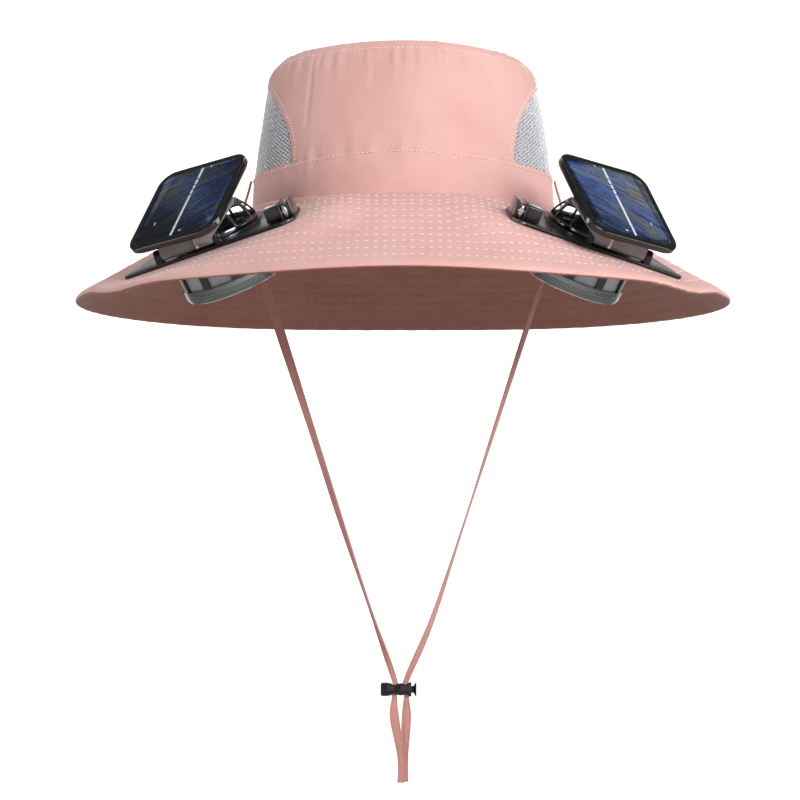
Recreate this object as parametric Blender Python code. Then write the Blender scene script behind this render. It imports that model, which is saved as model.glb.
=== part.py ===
"""A wide-brimmed sun hat with a solar fan unit on each side of its brim and a chin strap.

Metres, +Z up. The origin is the middle of the head opening, at the crown's base. The wearer
faces -Y, and an azimuth is counted from the front (-Y) towards +X.
Each fan unit is modelled on a flat frame of its own: x along its plate towards the wearer's
face, y up the brim's slope towards the crown, z off the brim. The right one mirrors the left.
"""

import math

import bmesh
import bpy
from mathutils import Euler, Matrix, Vector
from mathutils.geometry import convex_hull_2d

# Fit and cloth
GAP = 0.0003
CLOTH = 0.0016
RING_SEGMENTS = 44
CUT_THROUGH = 0.0200
JOINED_DEPTH = 0.0008

# Crown
CROWN_BASE_RADIUS = 0.0930
CROWN_HEIGHT = 0.0900
CROWN_TOP_SEAM = 0.0030
CROWN_TIP_RISE = 0.0030
TIP_SHOULDER, TIP_CREST = 0.955, 0.60
CROWN_PROFILE = (
    # share of the height, share of the base radius
    (0.00, 1.000),
    (0.22, 0.978),
    (0.42, 0.955),
    (0.62, 0.930),
    (0.82, 0.896),
    (0.905, 0.872),
    (0.955, 0.845),
    (1.00, 0.800),
)
BAND_HEIGHT_FRONT = 0.0270
BAND_HEIGHT_SIDE = 0.0200
BAND_DIP_AZIMUTH = math.radians(70)

# Mesh windows at the crown's sides, half ovals standing on the band
WINDOW_HALF_WIDTH = 0.0610
WINDOW_HEIGHT = 0.0545
WINDOW_ARC_STEPS = 24
WINDOW_TURN_STEPS = 12
MESH_THICK = 0.0010
MESH_BELOW_SEAM = 0.0040

# Brim
BRIM_RADIUS = 0.2000
BRIM_DROP = 0.0555
BRIM_BULGE = 0.0010
BRIM_THICK = 0.0032
BRIM_ROWS = 7
BINDING_WIDTH = 0.0110
BINDING_SWELL = 0.0003

# Chin strap and its lock
STRAP_WIDTH = 0.0063
STRAP_PINCHED = 0.0034
STRAP_THICK = 0.0012
STRAP_SLOT_RADIUS = 0.0972
STRAP_SLOT = (0.0032, 0.0085)
STRAP_STEP = 0.0170
STRAP_ROUTE = (
    # distance from the hat's middle, height, share of the full width, twist in degrees, set back
    (0.0931, 0.0180, 1.00, 0, 0),
    (0.0946, 0.0120, 1.00, 0, 0),
    (0.0970, 0.0030, 1.00, 0, 0),
    (0.0970, -0.0070, 1.00, 0, 0),
    (0.0900, -0.0285, 1.00, 55, 0),
    (0.0760, -0.0720, 1.00, 75, 0),
    (0.0560, -0.1340, 0.85, 62, 0),
    (0.0380, -0.1900, 0.95, 80, 0),
    (0.0180, -0.2500, 0.80, 70, 0),
)
LOCK_HEIGHT = -0.2930
LOCK_HOLE_RADIUS = 0.0020
STRAP_END_BELOW_LOCK = 0.0570
TAIL_SET_BACK = 0.0011
LEFT_STRAND_X, RIGHT_STRAND_X = -0.0052, 0.0021
LOCK_LEFT_END, LOCK_RIGHT_END = -0.0136, 0.0052
LOCK_PROFILE = (
    # share of the length from the closed end, radius
    (0.00, 0.0034),
    (0.03, 0.0041),
    (0.20, 0.0042),
    (0.44, 0.0033),
    (0.66, 0.0038),
    (0.82, 0.0034),
    (0.92, 0.0045),
    (1.00, 0.0043),
)
BUTTON_STEM_RADIUS = 0.0021
BUTTON_FLANGE_RADIUS = 0.0040
BUTTON_FLANGE = 0.0012
BUTTON_TRAVEL = 0.0012
BUTTON_STANDS_OUT = 0.0018
BUTTON_SLOT_HALF = 0.0012
BUTTON_NECK = 0.0006
BORE_PAST_HOLE = 0.0008
LOCK_CUT = 0.0100

# Where a fan unit sits
UNIT_AZIMUTH = math.radians(56.0)
UNIT_RADIUS = BRIM_RADIUS * 0.654
UNIT_HEIGHT = -BRIM_DROP * 0.42523
UNIT_FACES = math.radians(52.4)
UNIT_SLOPE = math.radians(27.3)
UNIT_TWIST = math.radians(40.4)
FLAT_MARGIN = 0.012
BLEND_MARGIN = 0.030
CROWN_BLEND = 0.0060
SEAT_MARGIN = 0.0008
SEAT_HEIGHT = 0.0120

# Fan unit: plate, ears and latch
FAN_X, FAN_Y = -0.0030, 0.0005
PLATE_THICK = 0.0018
PLATE_HOLE = 0.0258
PLATE_CIRCLES = (
    # along, across, radius of each round part of the outline
    (-0.0510, -0.0315, 0.0045),
    (FAN_X, FAN_Y, 0.0340),
    (0.0470, -0.0315, 0.0080),
    (0.0460, -0.0120, 0.0080),
)
LATCH_BOX = ((0.0370, 0.0545), (-0.0325, -0.0145))
LATCH_HEIGHT = 0.0125
LATCH_EDGE = 0.0008
LATCH_CHANNEL = (0.0455, 0.0508)
LATCH_FLOOR, LATCH_END_WALL = 0.0040, 0.0020
PIN_OUTER, PIN_INNER = 0.0023, 0.0012
PIN_HEIGHT = 0.0085

# Fan unit: guard, basket, motor and rotor
DOME_RADIUS = 0.0280
DOME_HEIGHT = 0.0215
DOME_HUB = 0.0055
DOME_FORK = 0.0150
DOME_RIBS = 6
RIB_HALF_WIDTH = 0.0009
GRILLE_THICK = 0.0016
BASKET_RADIUS = 0.0320
BASKET_FOOT_RADIUS = 0.0285
BASKET_DEPTH = 0.0315
BASKET_BARS = 10
BAR_SHARE = 0.26
BASKET_WALL = 0.0018
FOOT_RING = 0.0085
FOOT_LIP = 0.0028
SLOTS_BELOW_BRIM = 0.0025
SPOKE_RING = 0.0045
FLANGE_WIDTH = 0.0040
FLANGE_THICK = 0.0014
TONGUE = ((-0.0450, -0.0235), 0.0035)
MOTOR_RADIUS, MOTOR_HEIGHT = 0.0110, 0.0090
SHAFT_RADIUS, SHAFT_CLEARANCE = 0.0013, 0.0003
ROTOR_RADIUS, ROTOR_HUB = 0.0255, 0.0095
ROTOR_HEIGHT = 0.0100
ROTOR_BLADES = 5
BLADE_THICK = 0.0010
BLADE_HALF_WIDTH = 0.0075
ROTOR_EDGE = 0.0015
MOTOR_CLEARANCE, MOTOR_EDGE = 0.0005, 0.0010
BLADE_PITCH = math.radians(32)

# Fan unit: solar panel and its knuckle
PANEL_SIDE = 0.0676
PANEL_CORNER = 0.0100
PANEL_DEPTH = 0.0048
PANEL_BORDER = 0.0036
CELL_THICK = 0.0008
PANEL_FOOT, PANEL_LIP = 0.0014, 0.0008
PANEL_PLACE = (-0.0045, -0.0253, 0.0303)
PANEL_PITCH, PANEL_ROLL, PANEL_TURN = (math.radians(a) for a in (21.7, -9.6, -21.4))
KNUCKLE_Y, KNUCKLE_RADIUS = -0.0326, 0.0038
KNUCKLE_X = (-0.0290, -0.0065)
NECK_X = (-0.0085, 0.0040)
EAR_THICK = 0.0040
RIGHT_EAR_SHARE = 0.7
HINGE_PIN_RADIUS = 0.0014
BORE_PAST = 0.0020
RISER_REACH = 0.0400
NECK_BACK = (
    # behind the knuckle, height off the brim
    (0.0008, 0.0130),
    (0.0065, 0.0190),
    (0.0185, 0.0258),
    (0.0205, 0.0450),
)


def clear_scene():
    for thing in list(bpy.data.objects):
        bpy.data.objects.remove(thing)


def material(name, colour, roughness, metallic=0.0):
    """A Principled material; colour is linear RGB."""
    made = bpy.data.materials.new(name)
    made.use_nodes = True
    shader = made.node_tree.nodes["Principled BSDF"]
    shader.inputs["Base Color"].default_value = (*colour, 1)
    shader.inputs["Roughness"].default_value = roughness
    shader.inputs["Metallic"].default_value = metallic
    return made


def add_object(name, bm, look, origin=(0, 0, 0)):
    """Turns a bmesh in hat coordinates into a smooth-shaded object whose origin is given."""
    bmesh.ops.recalc_face_normals(bm, faces=bm.faces)
    bmesh.ops.translate(bm, vec=-Vector(origin), verts=bm.verts)
    mesh = bpy.data.meshes.new(name)
    bm.to_mesh(mesh)
    bm.free()
    mesh.materials.append(look)
    mesh.shade_smooth()
    mesh.set_sharp_from_angle(angle=math.radians(35))
    made = bpy.data.objects.new(name, mesh)
    made.location = origin
    bpy.context.scene.collection.objects.link(made)
    return made


def boolean(target, name, bm, operation, look):
    """Cuts or joins a helper solid, which stays hidden."""
    helper = add_object(name, bm, look)
    helper.hide_render = True
    helper.display_type = "WIRE"
    step = target.modifiers.new(name, "BOOLEAN")
    step.operation = operation
    step.object = helper


def around(azimuth, radius, height):
    return Vector((radius * math.sin(azimuth), -radius * math.cos(azimuth), height))


def ring_solid(section, segments=RING_SEGMENTS):
    """A ring round the Z axis; section(azimuth) gives the closed outline there."""
    bm = bmesh.new()
    rows = [
        [bm.verts.new(p) for p in section(math.tau * i / segments)] for i in range(segments)
    ]
    for here, there in zip(rows, rows[1:] + rows[:1]):
        for k in range(len(here)):
            bm.faces.new((here[k], there[k], there[k - 1], here[k - 1]))
    return bm


def turned_solid(outline, segments, axis_matrix=None):
    """Turns an outline of (radius, height) pairs, whose ends lie on the axis, round Z."""
    bm = bmesh.new()
    ends = [bm.verts.new((0, 0, outline[i][1])) for i in (0, -1)]
    rows = []
    for i in range(segments):
        turn = math.tau * i / segments
        rows.append(
            [bm.verts.new((r * math.cos(turn), r * math.sin(turn), z)) for r, z in outline[1:-1]]
        )
    for here, there in zip(rows, rows[1:] + rows[:1]):
        bm.faces.new((ends[0], here[0], there[0]))
        bm.faces.new((ends[1], there[-1], here[-1]))
        for k in range(len(here) - 1):
            bm.faces.new((here[k], here[k + 1], there[k + 1], there[k]))
    if axis_matrix:
        bmesh.ops.transform(bm, matrix=axis_matrix, verts=bm.verts)
    return bm


def tube_solid(outer, inner, low, high, segments):
    """A straight tube along Z."""
    section = ((outer, low), (outer, high), (inner, high), (inner, low))
    return ring_solid(lambda a: [around(a, r, z) for r, z in section], segments)


def slab(outline, low, high):
    """A flat outline of (x, y) pairs, extruded from one height to another."""
    bm = bmesh.new()
    base = bm.faces.new([bm.verts.new((x, y, low)) for x, y in outline])
    top = bmesh.ops.extrude_face_region(bm, geom=[base])["geom"]
    moved = [part for part in top if isinstance(part, bmesh.types.BMVert)]
    bmesh.ops.translate(bm, vec=(0, 0, high - low), verts=moved)
    return bm


def box(low, high):
    bm = bmesh.new()
    bmesh.ops.create_cube(bm, size=1)
    middle = (Vector(low) + Vector(high)) / 2
    size = Vector(high) - Vector(low)
    bmesh.ops.transform(
        bm, matrix=Matrix.Translation(middle) @ Matrix.Diagonal((*size, 1)), verts=bm.verts
    )
    return bm


def rod(radius, start, end, segments=16):
    """A round rod between two points."""
    start, end = Vector(start), Vector(end)
    bm = bmesh.new()
    turn = (end - start).to_track_quat("Z", "Y").to_matrix().to_4x4()
    bmesh.ops.create_cone(
        bm,
        cap_ends=True,
        segments=segments,
        radius1=radius,
        radius2=radius,
        depth=(end - start).length,
        matrix=Matrix.Translation((start + end) / 2) @ turn,
    )
    return bm


def through_hole(radius, segments):
    """A rod on the fan's axis, in the unit's frame, that cuts right through."""
    return rod(radius, (FAN_X, FAN_Y, -CUT_THROUGH), (FAN_X, FAN_Y, CUT_THROUGH), segments)


def lerp_table(table, at):
    """Reads a table of (place, value) rows, straight between rows."""
    for (a, va), (b, vb) in zip(table, table[1:]):
        if at <= b:
            return va + (vb - va) * (at - a) / (b - a)
    return table[-1][1]


def smooth_step(t):
    t = min(max(t, 0.0), 1.0)
    return t * t * (3 - 2 * t)


# The fan unit's frame on the hat


def unit_matrix():
    """Places the left unit's frame on the brim."""
    out = Vector((-math.sin(UNIT_FACES), -math.cos(UNIT_FACES), 0))
    along_brim = Vector((math.cos(UNIT_FACES), -math.sin(UNIT_FACES), 0))
    up = Vector((0, 0, 1))
    off_brim = out * math.sin(UNIT_SLOPE) + up * math.cos(UNIT_SLOPE)
    up_slope = -out * math.cos(UNIT_SLOPE) + up * math.sin(UNIT_SLOPE)
    along = along_brim * math.cos(UNIT_TWIST) + up_slope * math.sin(UNIT_TWIST)
    across = off_brim.cross(along)
    turn = Matrix((along, across, off_brim)).transposed().to_4x4()
    return Matrix.Translation(around(-UNIT_AZIMUTH, UNIT_RADIUS, UNIT_HEIGHT)) @ turn


UNIT = unit_matrix()
MIRROR = Matrix.Diagonal((-1, 1, 1, 1))
SIDES = {"left": UNIT, "right": MIRROR @ UNIT}
PANEL = Matrix.Translation(PANEL_PLACE) @ (
    Euler((PANEL_PITCH, 0, 0)).to_matrix()
    @ Euler((0, PANEL_ROLL, 0)).to_matrix()
    @ Euler((0, 0, PANEL_TURN)).to_matrix()
).to_4x4()


def circle(x, y, radius, segments=40):
    return [
        (
            x + radius * math.cos(math.tau * i / segments),
            y + radius * math.sin(math.tau * i / segments),
        )
        for i in range(segments)
    ]


def plate_outline(grow=0.0):
    points = [p for x, y, r in PLATE_CIRCLES for p in circle(x, y, r + grow, 20)]
    return [points[i] for i in convex_hull_2d(points)]


PLATE_OUTLINE = plate_outline()


def distance_to_plate(x, y):
    """How far a point of the unit's frame lies outside the plate's outline."""
    inside = True
    nearest = math.inf
    here = Vector((x, y))
    for a, b in zip(PLATE_OUTLINE, PLATE_OUTLINE[1:] + PLATE_OUTLINE[:1]):
        a, b = Vector(a), Vector(b)
        side = b - a
        share = min(max((here - a).dot(side) / side.length_squared, 0), 1)
        nearest = min(nearest, (here - a - side * share).length)
        inside = inside and side.cross(here - a) >= 0
    return 0.0 if inside else nearest


# Crown


def crown_radius(height):
    base = [(h * CROWN_HEIGHT, r * CROWN_BASE_RADIUS) for h, r in CROWN_PROFILE]
    return lerp_table(base, height)


def band_top(azimuth):
    """The band stands higher at the front and back than at the sides."""
    from_front = math.asin(abs(math.sin(azimuth)))
    share = 1 - smooth_step(from_front / BAND_DIP_AZIMUTH)
    return BAND_HEIGHT_SIDE + (BAND_HEIGHT_FRONT - BAND_HEIGHT_SIDE) * share


def shell_section(azimuth, heights, thick, set_in=0.0):
    """The closed outline of a crown wall: up its outer face, down its inner one."""
    outer = [around(azimuth, crown_radius(h) - set_in, h) for h in heights]
    inner = [around(azimuth, crown_radius(h) - set_in - thick, h) for h in reversed(heights)]
    return outer + inner


def window_cutter(grow):
    """A half oval that runs through both sides of the crown, along X."""
    sill = BAND_HEIGHT_SIDE
    points = [
        (
            (WINDOW_HALF_WIDTH + grow) * math.cos(math.pi * i / WINDOW_ARC_STEPS),
            sill + (WINDOW_HEIGHT + grow) * math.sin(math.pi * i / WINDOW_ARC_STEPS),
        )
        for i in range(WINDOW_ARC_STEPS + 1)
    ]
    outline = [(-y, z) for y, z in points]
    if grow >= 0:
        half = WINDOW_HALF_WIDTH + grow
        outline += [(half, sill - CUT_THROUGH), (-half, sill - CUT_THROUGH)]
    bm = slab(outline, -1.2 * CROWN_BASE_RADIUS, 1.2 * CROWN_BASE_RADIUS)
    swap = Matrix(((0, 0, 1, 0), (1, 0, 0, 0), (0, 1, 0, 0), (0, 0, 0, 1)))
    bmesh.ops.transform(bm, matrix=swap, verts=bm.verts)
    return bm


def build_crown(cloth, mesh_look):
    seam_top = CROWN_HEIGHT - CROWN_TOP_SEAM
    band = ring_solid(lambda a: shell_section(a, [GAP, band_top(a) / 2, band_top(a)], CLOTH))
    add_object("crown_band", band, cloth)

    def wall_section(a):
        low = band_top(a) + GAP
        shares = (0.0, 0.30, 0.58, 0.80, 0.93, 1.0)
        return shell_section(a, [low + (seam_top - low) * s for s in shares], CLOTH)

    wall = add_object("crown_wall", ring_solid(wall_section), cloth)
    boolean(wall, "window_cutter", window_cutter(0.0), "DIFFERENCE", cloth)

    for side, sign in (("left", -1), ("right", 1)):
        window = bmesh.new()
        rows = []
        steps = WINDOW_TURN_STEPS
        reach = math.asin((WINDOW_HALF_WIDTH - GAP) / CROWN_BASE_RADIUS)
        set_in = (CLOTH - MESH_THICK) / 2
        for i in range(steps + 1):
            azimuth = sign * (math.pi / 2 + reach * 1.04 * (2 * i / steps - 1))
            low = band_top(azimuth) + GAP
            heights = [low + (seam_top - MESH_BELOW_SEAM - low) * s / 5 for s in range(6)]
            rows.append(
                [window.verts.new(p) for p in shell_section(azimuth, heights, MESH_THICK, set_in)]
            )
        for here, there in zip(rows, rows[1:]):
            for k in range(len(here)):
                window.faces.new((here[k], there[k], there[k - 1], here[k - 1]))
        window.faces.new(rows[0])
        window.faces.new(list(reversed(rows[-1])))
        panel = add_object(f"mesh_window_{side}", window, mesh_look)
        boolean(panel, f"window_edge_{side}", window_cutter(-GAP), "INTERSECT", cloth)

    edge = crown_radius(seam_top)
    rise = CROWN_HEIGHT - seam_top
    outline = [
        (0, CROWN_HEIGHT + CROWN_TIP_RISE),
        (edge * TIP_CREST, CROWN_HEIGHT + CROWN_TIP_RISE * TIP_CREST),
        (edge * TIP_SHOULDER, CROWN_HEIGHT - rise * 0.15),
        (edge, seam_top + GAP + rise * 0.25),
        (edge - CLOTH * 0.4, seam_top + GAP),
        (edge - CLOTH * 1.5, seam_top + GAP),
        (edge * TIP_SHOULDER - CLOTH * 1.7, CROWN_HEIGHT - rise * 0.15 - CLOTH),
        (edge * TIP_CREST, CROWN_HEIGHT + CROWN_TIP_RISE * TIP_CREST - CLOTH),
        (0, CROWN_HEIGHT + CROWN_TIP_RISE - CLOTH),
    ]
    add_object("crown_tip", turned_solid(outline, RING_SEGMENTS), cloth)


# Brim


def brim_height(x, y):
    """The brim's upper face: a slightly rounded cone, flat where a fan unit sits on it."""
    radius = math.hypot(x, y)
    out = max(0, (radius - CROWN_BASE_RADIUS) / (BRIM_RADIUS - CROWN_BASE_RADIUS))
    cone = -BRIM_DROP * out + BRIM_BULGE * 4 * out * (1 - out)
    normal, place = UNIT.col[2].xyz, UNIT.translation
    left = Vector((-abs(x), y, 0))
    flat = place.z - ((left.x - place.x) * normal.x + (y - place.y) * normal.y) / normal.z
    local = UNIT.inverted() @ Vector((left.x, y, flat))
    away = distance_to_plate(local.x, local.y)
    share = 1 - smooth_step((away - FLAT_MARGIN) / (BLEND_MARGIN - FLAT_MARGIN))
    share *= smooth_step((radius - CROWN_BASE_RADIUS) / CROWN_BLEND)
    return cone + (flat - cone) * share


def build_brim(cloth):
    inner = CROWN_BASE_RADIUS
    outer = BRIM_RADIUS - BINDING_WIDTH
    radii = [inner + (outer - inner) * k / BRIM_ROWS for k in range(BRIM_ROWS + 1)]
    radii.insert(0, inner - CLOTH)

    def section(azimuth):
        top = [around(azimuth, r, 0) for r in radii]
        for p in top:
            p.z = brim_height(p.x, p.y)
        low = [p - Vector((0, 0, BRIM_THICK)) for p in reversed(top)]
        return top + low

    brim = add_object("brim", ring_solid(section), cloth)
    for side, place in SIDES.items():
        seat = slab(plate_outline(SEAT_MARGIN), GAP / 3, SEAT_HEIGHT)
        bmesh.ops.transform(seat, matrix=place, verts=seat.verts)
        boolean(brim, f"plate_seat_{side}", seat, "DIFFERENCE", cloth)
        hole = through_hole(BASKET_RADIUS + 2 * GAP, 40)
        bmesh.ops.transform(hole, matrix=place, verts=hole.verts)
        boolean(brim, f"fan_hole_{side}", hole, "DIFFERENCE", cloth)
        sign = -1 if side == "left" else 1
        deep, wide = STRAP_SLOT
        middle = sign * STRAP_SLOT_RADIUS
        slot = box(
            (middle - deep / 2, -wide / 2, -CUT_THROUGH),
            (middle + deep / 2, wide / 2, CUT_THROUGH),
        )
        boolean(brim, f"strap_slot_{side}", slot, "DIFFERENCE", cloth)

    start = outer + GAP
    swell = BINDING_SWELL
    shape = (
        # share of the band's width, share of the thickness below the upper face, swell
        (0.00, 0.00, 0.0),
        (0.45, 0.00, swell),
        (0.86, 0.02, swell),
        (1.00, 0.30, 0.0),
        (1.00, 0.70, 0.0),
        (0.86, 0.98, -swell),
        (0.00, 1.00, 0.0),
    )

    def binding_section(azimuth):
        points = []
        for across, down, out in shape:
            p = around(azimuth, start + (BRIM_RADIUS - start) * across, 0)
            p.z = brim_height(p.x, p.y) - BRIM_THICK * down + out
            points.append(p)
        return points

    add_object("brim_binding", ring_solid(binding_section), cloth)


# Chin strap and lock


def smooth_route(rows, step):
    """Points about a step apart on a smooth curve through rows of numbers."""
    points = []
    padded = [rows[0], *rows, rows[-1]]
    for p0, p1, p2, p3 in zip(padded, padded[1:], padded[2:], padded[3:]):
        count = max(1, round(math.dist(p1[:2], p2[:2]) / step))
        for i in range(count):
            t = i / count
            points.append(
                [
                    0.5 * (2 * b + (c - a) * t + (2 * a - 5 * b + 4 * c - d) * t * t
                           + (3 * b - a - 3 * c + d) * t ** 3)
                    for a, b, c, d in zip(p0, p1, p2, p3)
                ]
            )
    return [*points, list(rows[-1])]


def build_strap(side, sign, strand_x, end_x, cloth):
    """A flat ribbon: each cross-section is a thin rectangle turned by its twist."""
    pinch = STRAP_PINCHED / STRAP_WIDTH
    at_lock = sign * strand_x
    half_lock = LOCK_PROFILE[1][1]
    back = sign * TAIL_SET_BACK
    rows = [
        *STRAP_ROUTE,
        (at_lock, LOCK_HEIGHT + 1.4 * half_lock, pinch, 90, 0),
        (at_lock, LOCK_HEIGHT, pinch, 90, 0),
        (at_lock, LOCK_HEIGHT - 1.4 * half_lock, pinch, 90, 0),
        (at_lock, LOCK_HEIGHT - 0.3 * STRAP_END_BELOW_LOCK, 0.85, 90, back),
        (sign * end_x, LOCK_HEIGHT - 0.75 * STRAP_END_BELOW_LOCK, 1.0, 90, back),
        (sign * end_x, LOCK_HEIGHT - STRAP_END_BELOW_LOCK, 0.9, 90, back),
    ]
    route = smooth_route(rows, STRAP_STEP)
    bm = bmesh.new()
    rings = []
    for i, (out, height, share, twist, set_back) in enumerate(route):
        before, after = route[max(i - 1, 0)], route[min(i + 1, len(route) - 1)]
        run = Vector((sign * (after[0] - before[0]), 0, after[1] - before[1])).normalized()
        wide = Matrix.Rotation(math.radians(twist) * sign, 3, run) @ Vector((0, 1, 0))
        thin = run.cross(wide)
        middle = Vector((sign * out, set_back, height))
        w, t = wide * STRAP_WIDTH * share / 2, thin * STRAP_THICK / 2
        rings.append([bm.verts.new(middle + c) for c in (w + t, t - w, -w - t, w - t)])
    for here, there in zip(rings, rings[1:]):
        for k in range(4):
            bm.faces.new((here[k], there[k], there[k - 1], here[k - 1]))
    bm.faces.new(rings[0])
    bm.faces.new(list(reversed(rings[-1])))
    add_object(f"strap_{side}", bm, cloth)


def build_lock(black):
    long = LOCK_RIGHT_END - LOCK_LEFT_END
    stem_bore = BUTTON_STEM_RADIUS + GAP
    bore_end = LEFT_STRAND_X + LOCK_HOLE_RADIUS + BORE_PAST_HOLE
    outline = [(0, LOCK_LEFT_END)]
    outline += [(r, LOCK_LEFT_END + share * long) for share, r in LOCK_PROFILE]
    outline += [(stem_bore, LOCK_RIGHT_END), (stem_bore, bore_end), (0, bore_end)]
    along_x = Matrix(((0, 0, 1, 0), (0, 1, 0, 0), (-1, 0, 0, LOCK_HEIGHT), (0, 0, 0, 1)))
    barrel = add_object("cord_lock_barrel", turned_solid(outline, 14, along_x), black)
    for name, x in (("left", LEFT_STRAND_X), ("right", RIGHT_STRAND_X)):
        hole = rod(
            LOCK_HOLE_RADIUS,
            (x, 0, LOCK_HEIGHT - LOCK_CUT),
            (x, 0, LOCK_HEIGHT + LOCK_CUT),
            12,
        )
        boolean(barrel, f"lock_hole_{name}", hole, "DIFFERENCE", black)
    tip = LOCK_RIGHT_END + BUTTON_STANDS_OUT + BUTTON_FLANGE
    flange_start = LOCK_RIGHT_END + BUTTON_STANDS_OUT
    stem_start = bore_end + BUTTON_TRAVEL + GAP
    stem, flange = BUTTON_STEM_RADIUS, BUTTON_FLANGE_RADIUS
    outline = [
        (0, stem_start),
        (stem, stem_start),
        (stem, flange_start - BUTTON_NECK),
        (flange, flange_start + BUTTON_FLANGE / 3),
        (flange, tip),
        (0, tip),
    ]
    place = Vector((LOCK_RIGHT_END, 0, LOCK_HEIGHT))
    button = add_object("cord_lock_button", turned_solid(outline, 16, along_x), black, place)
    slot = box(
        (RIGHT_STRAND_X - LOCK_HOLE_RADIUS, -BUTTON_SLOT_HALF, LOCK_HEIGHT - LOCK_CUT),
        (
            RIGHT_STRAND_X + LOCK_HOLE_RADIUS + BUTTON_TRAVEL,
            BUTTON_SLOT_HALF,
            LOCK_HEIGHT + LOCK_CUT,
        ),
    )
    boolean(button, "button_slot", slot, "DIFFERENCE", black)


# Fan unit


def placed(bm, side):
    bmesh.ops.transform(bm, matrix=SIDES[side], verts=bm.verts)
    return bm


def knuckle_axis():
    """Height of the panel's hinge line off the brim."""
    return GAP + PLATE_THICK + 2 * GAP + KNUCKLE_RADIUS


def build_plate(side, black):
    low, high = GAP, GAP + PLATE_THICK
    plate = add_object(f"clip_plate_{side}", placed(slab(PLATE_OUTLINE, low, high), side), black)
    opening = through_hole(PLATE_HOLE, 32)
    boolean(plate, f"plate_opening_{side}", placed(opening, side), "DIFFERENCE", black)
    axis = knuckle_axis()
    ears = (
        (KNUCKLE_X[0] - GAP - EAR_THICK, KNUCKLE_X[0] - GAP),
        (NECK_X[1] + GAP, NECK_X[1] + GAP + EAR_THICK * RIGHT_EAR_SHARE),
    )
    for number, (start, end) in enumerate(ears):
        half = KNUCKLE_RADIUS
        crest = axis + half
        profile = [
            (KNUCKLE_Y - half, high - JOINED_DEPTH),
            (KNUCKLE_Y + half, high - JOINED_DEPTH),
            (KNUCKLE_Y + half, axis),
            (KNUCKLE_Y + half * 0.7, crest - half * 0.3),
            (KNUCKLE_Y, crest),
            (KNUCKLE_Y - half * 0.7, crest - half * 0.3),
            (KNUCKLE_Y - half, axis),
        ]
        ear = along_plate(profile, start, end)
        boolean(plate, f"ear_{number}_{side}", placed(ear, side), "UNION", black)
    bore = rod(
        HINGE_PIN_RADIUS + GAP,
        (ears[0][0] - BORE_PAST, KNUCKLE_Y, axis),
        (ears[1][1] + BORE_PAST, KNUCKLE_Y, axis),
        12,
    )
    boolean(plate, f"ear_bore_{side}", placed(bore, side), "DIFFERENCE", black)
    pin = rod(HINGE_PIN_RADIUS, (ears[0][0], KNUCKLE_Y, axis), (ears[1][1], KNUCKLE_Y, axis), 12)
    add_object(f"panel_hinge_pin_{side}", placed(pin, side), black)


def along_plate(profile, start, end):
    """A profile of (across, height) pairs, extruded along the plate."""
    bm = slab(profile, start, end)
    swap = Matrix(((0, 0, 1, 0), (1, 0, 0, 0), (0, 1, 0, 0), (0, 0, 0, 1)))
    bmesh.ops.transform(bm, matrix=swap, verts=bm.verts)
    return bm


def build_latch(side, black, steel):
    low = GAP + PLATE_THICK + GAP
    (x0, x1), (y0, y1) = LATCH_BOX
    crest = low + LATCH_HEIGHT
    body = box((x0, y0, low), (x1, y1, crest))
    bmesh.ops.bevel(
        body, geom=body.edges, offset=LATCH_EDGE, segments=1, affect="EDGES", profile=0.5, material=-1
    )
    block = add_object(f"latch_block_{side}", placed(body, side), black)
    channel = box(
        (LATCH_CHANNEL[0], y0 - CUT_THROUGH, low + LATCH_FLOOR),
        (LATCH_CHANNEL[1], y1 - LATCH_END_WALL, crest + CUT_THROUGH),
    )
    boolean(block, f"latch_channel_{side}", placed(channel, side), "DIFFERENCE", black)
    middle = sum(LATCH_CHANNEL) / 2
    pin = tube_solid(PIN_OUTER, PIN_INNER, y0 + LATCH_EDGE, y1 - LATCH_END_WALL - GAP, 10)
    swap = Matrix(((1, 0, 0, middle), (0, 0, 1, 0), (0, 1, 0, low + PIN_HEIGHT), (0, 0, 0, 1)))
    bmesh.ops.transform(pin, matrix=swap, verts=pin.verts)
    add_object(f"spring_pin_{side}", placed(pin, side), steel)


def dome_height(radius):
    ball = (DOME_RADIUS**2 + DOME_HEIGHT**2) / (2 * DOME_HEIGHT)
    return math.sqrt(max(ball**2 - radius**2, 0)) - ball + DOME_HEIGHT


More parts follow.
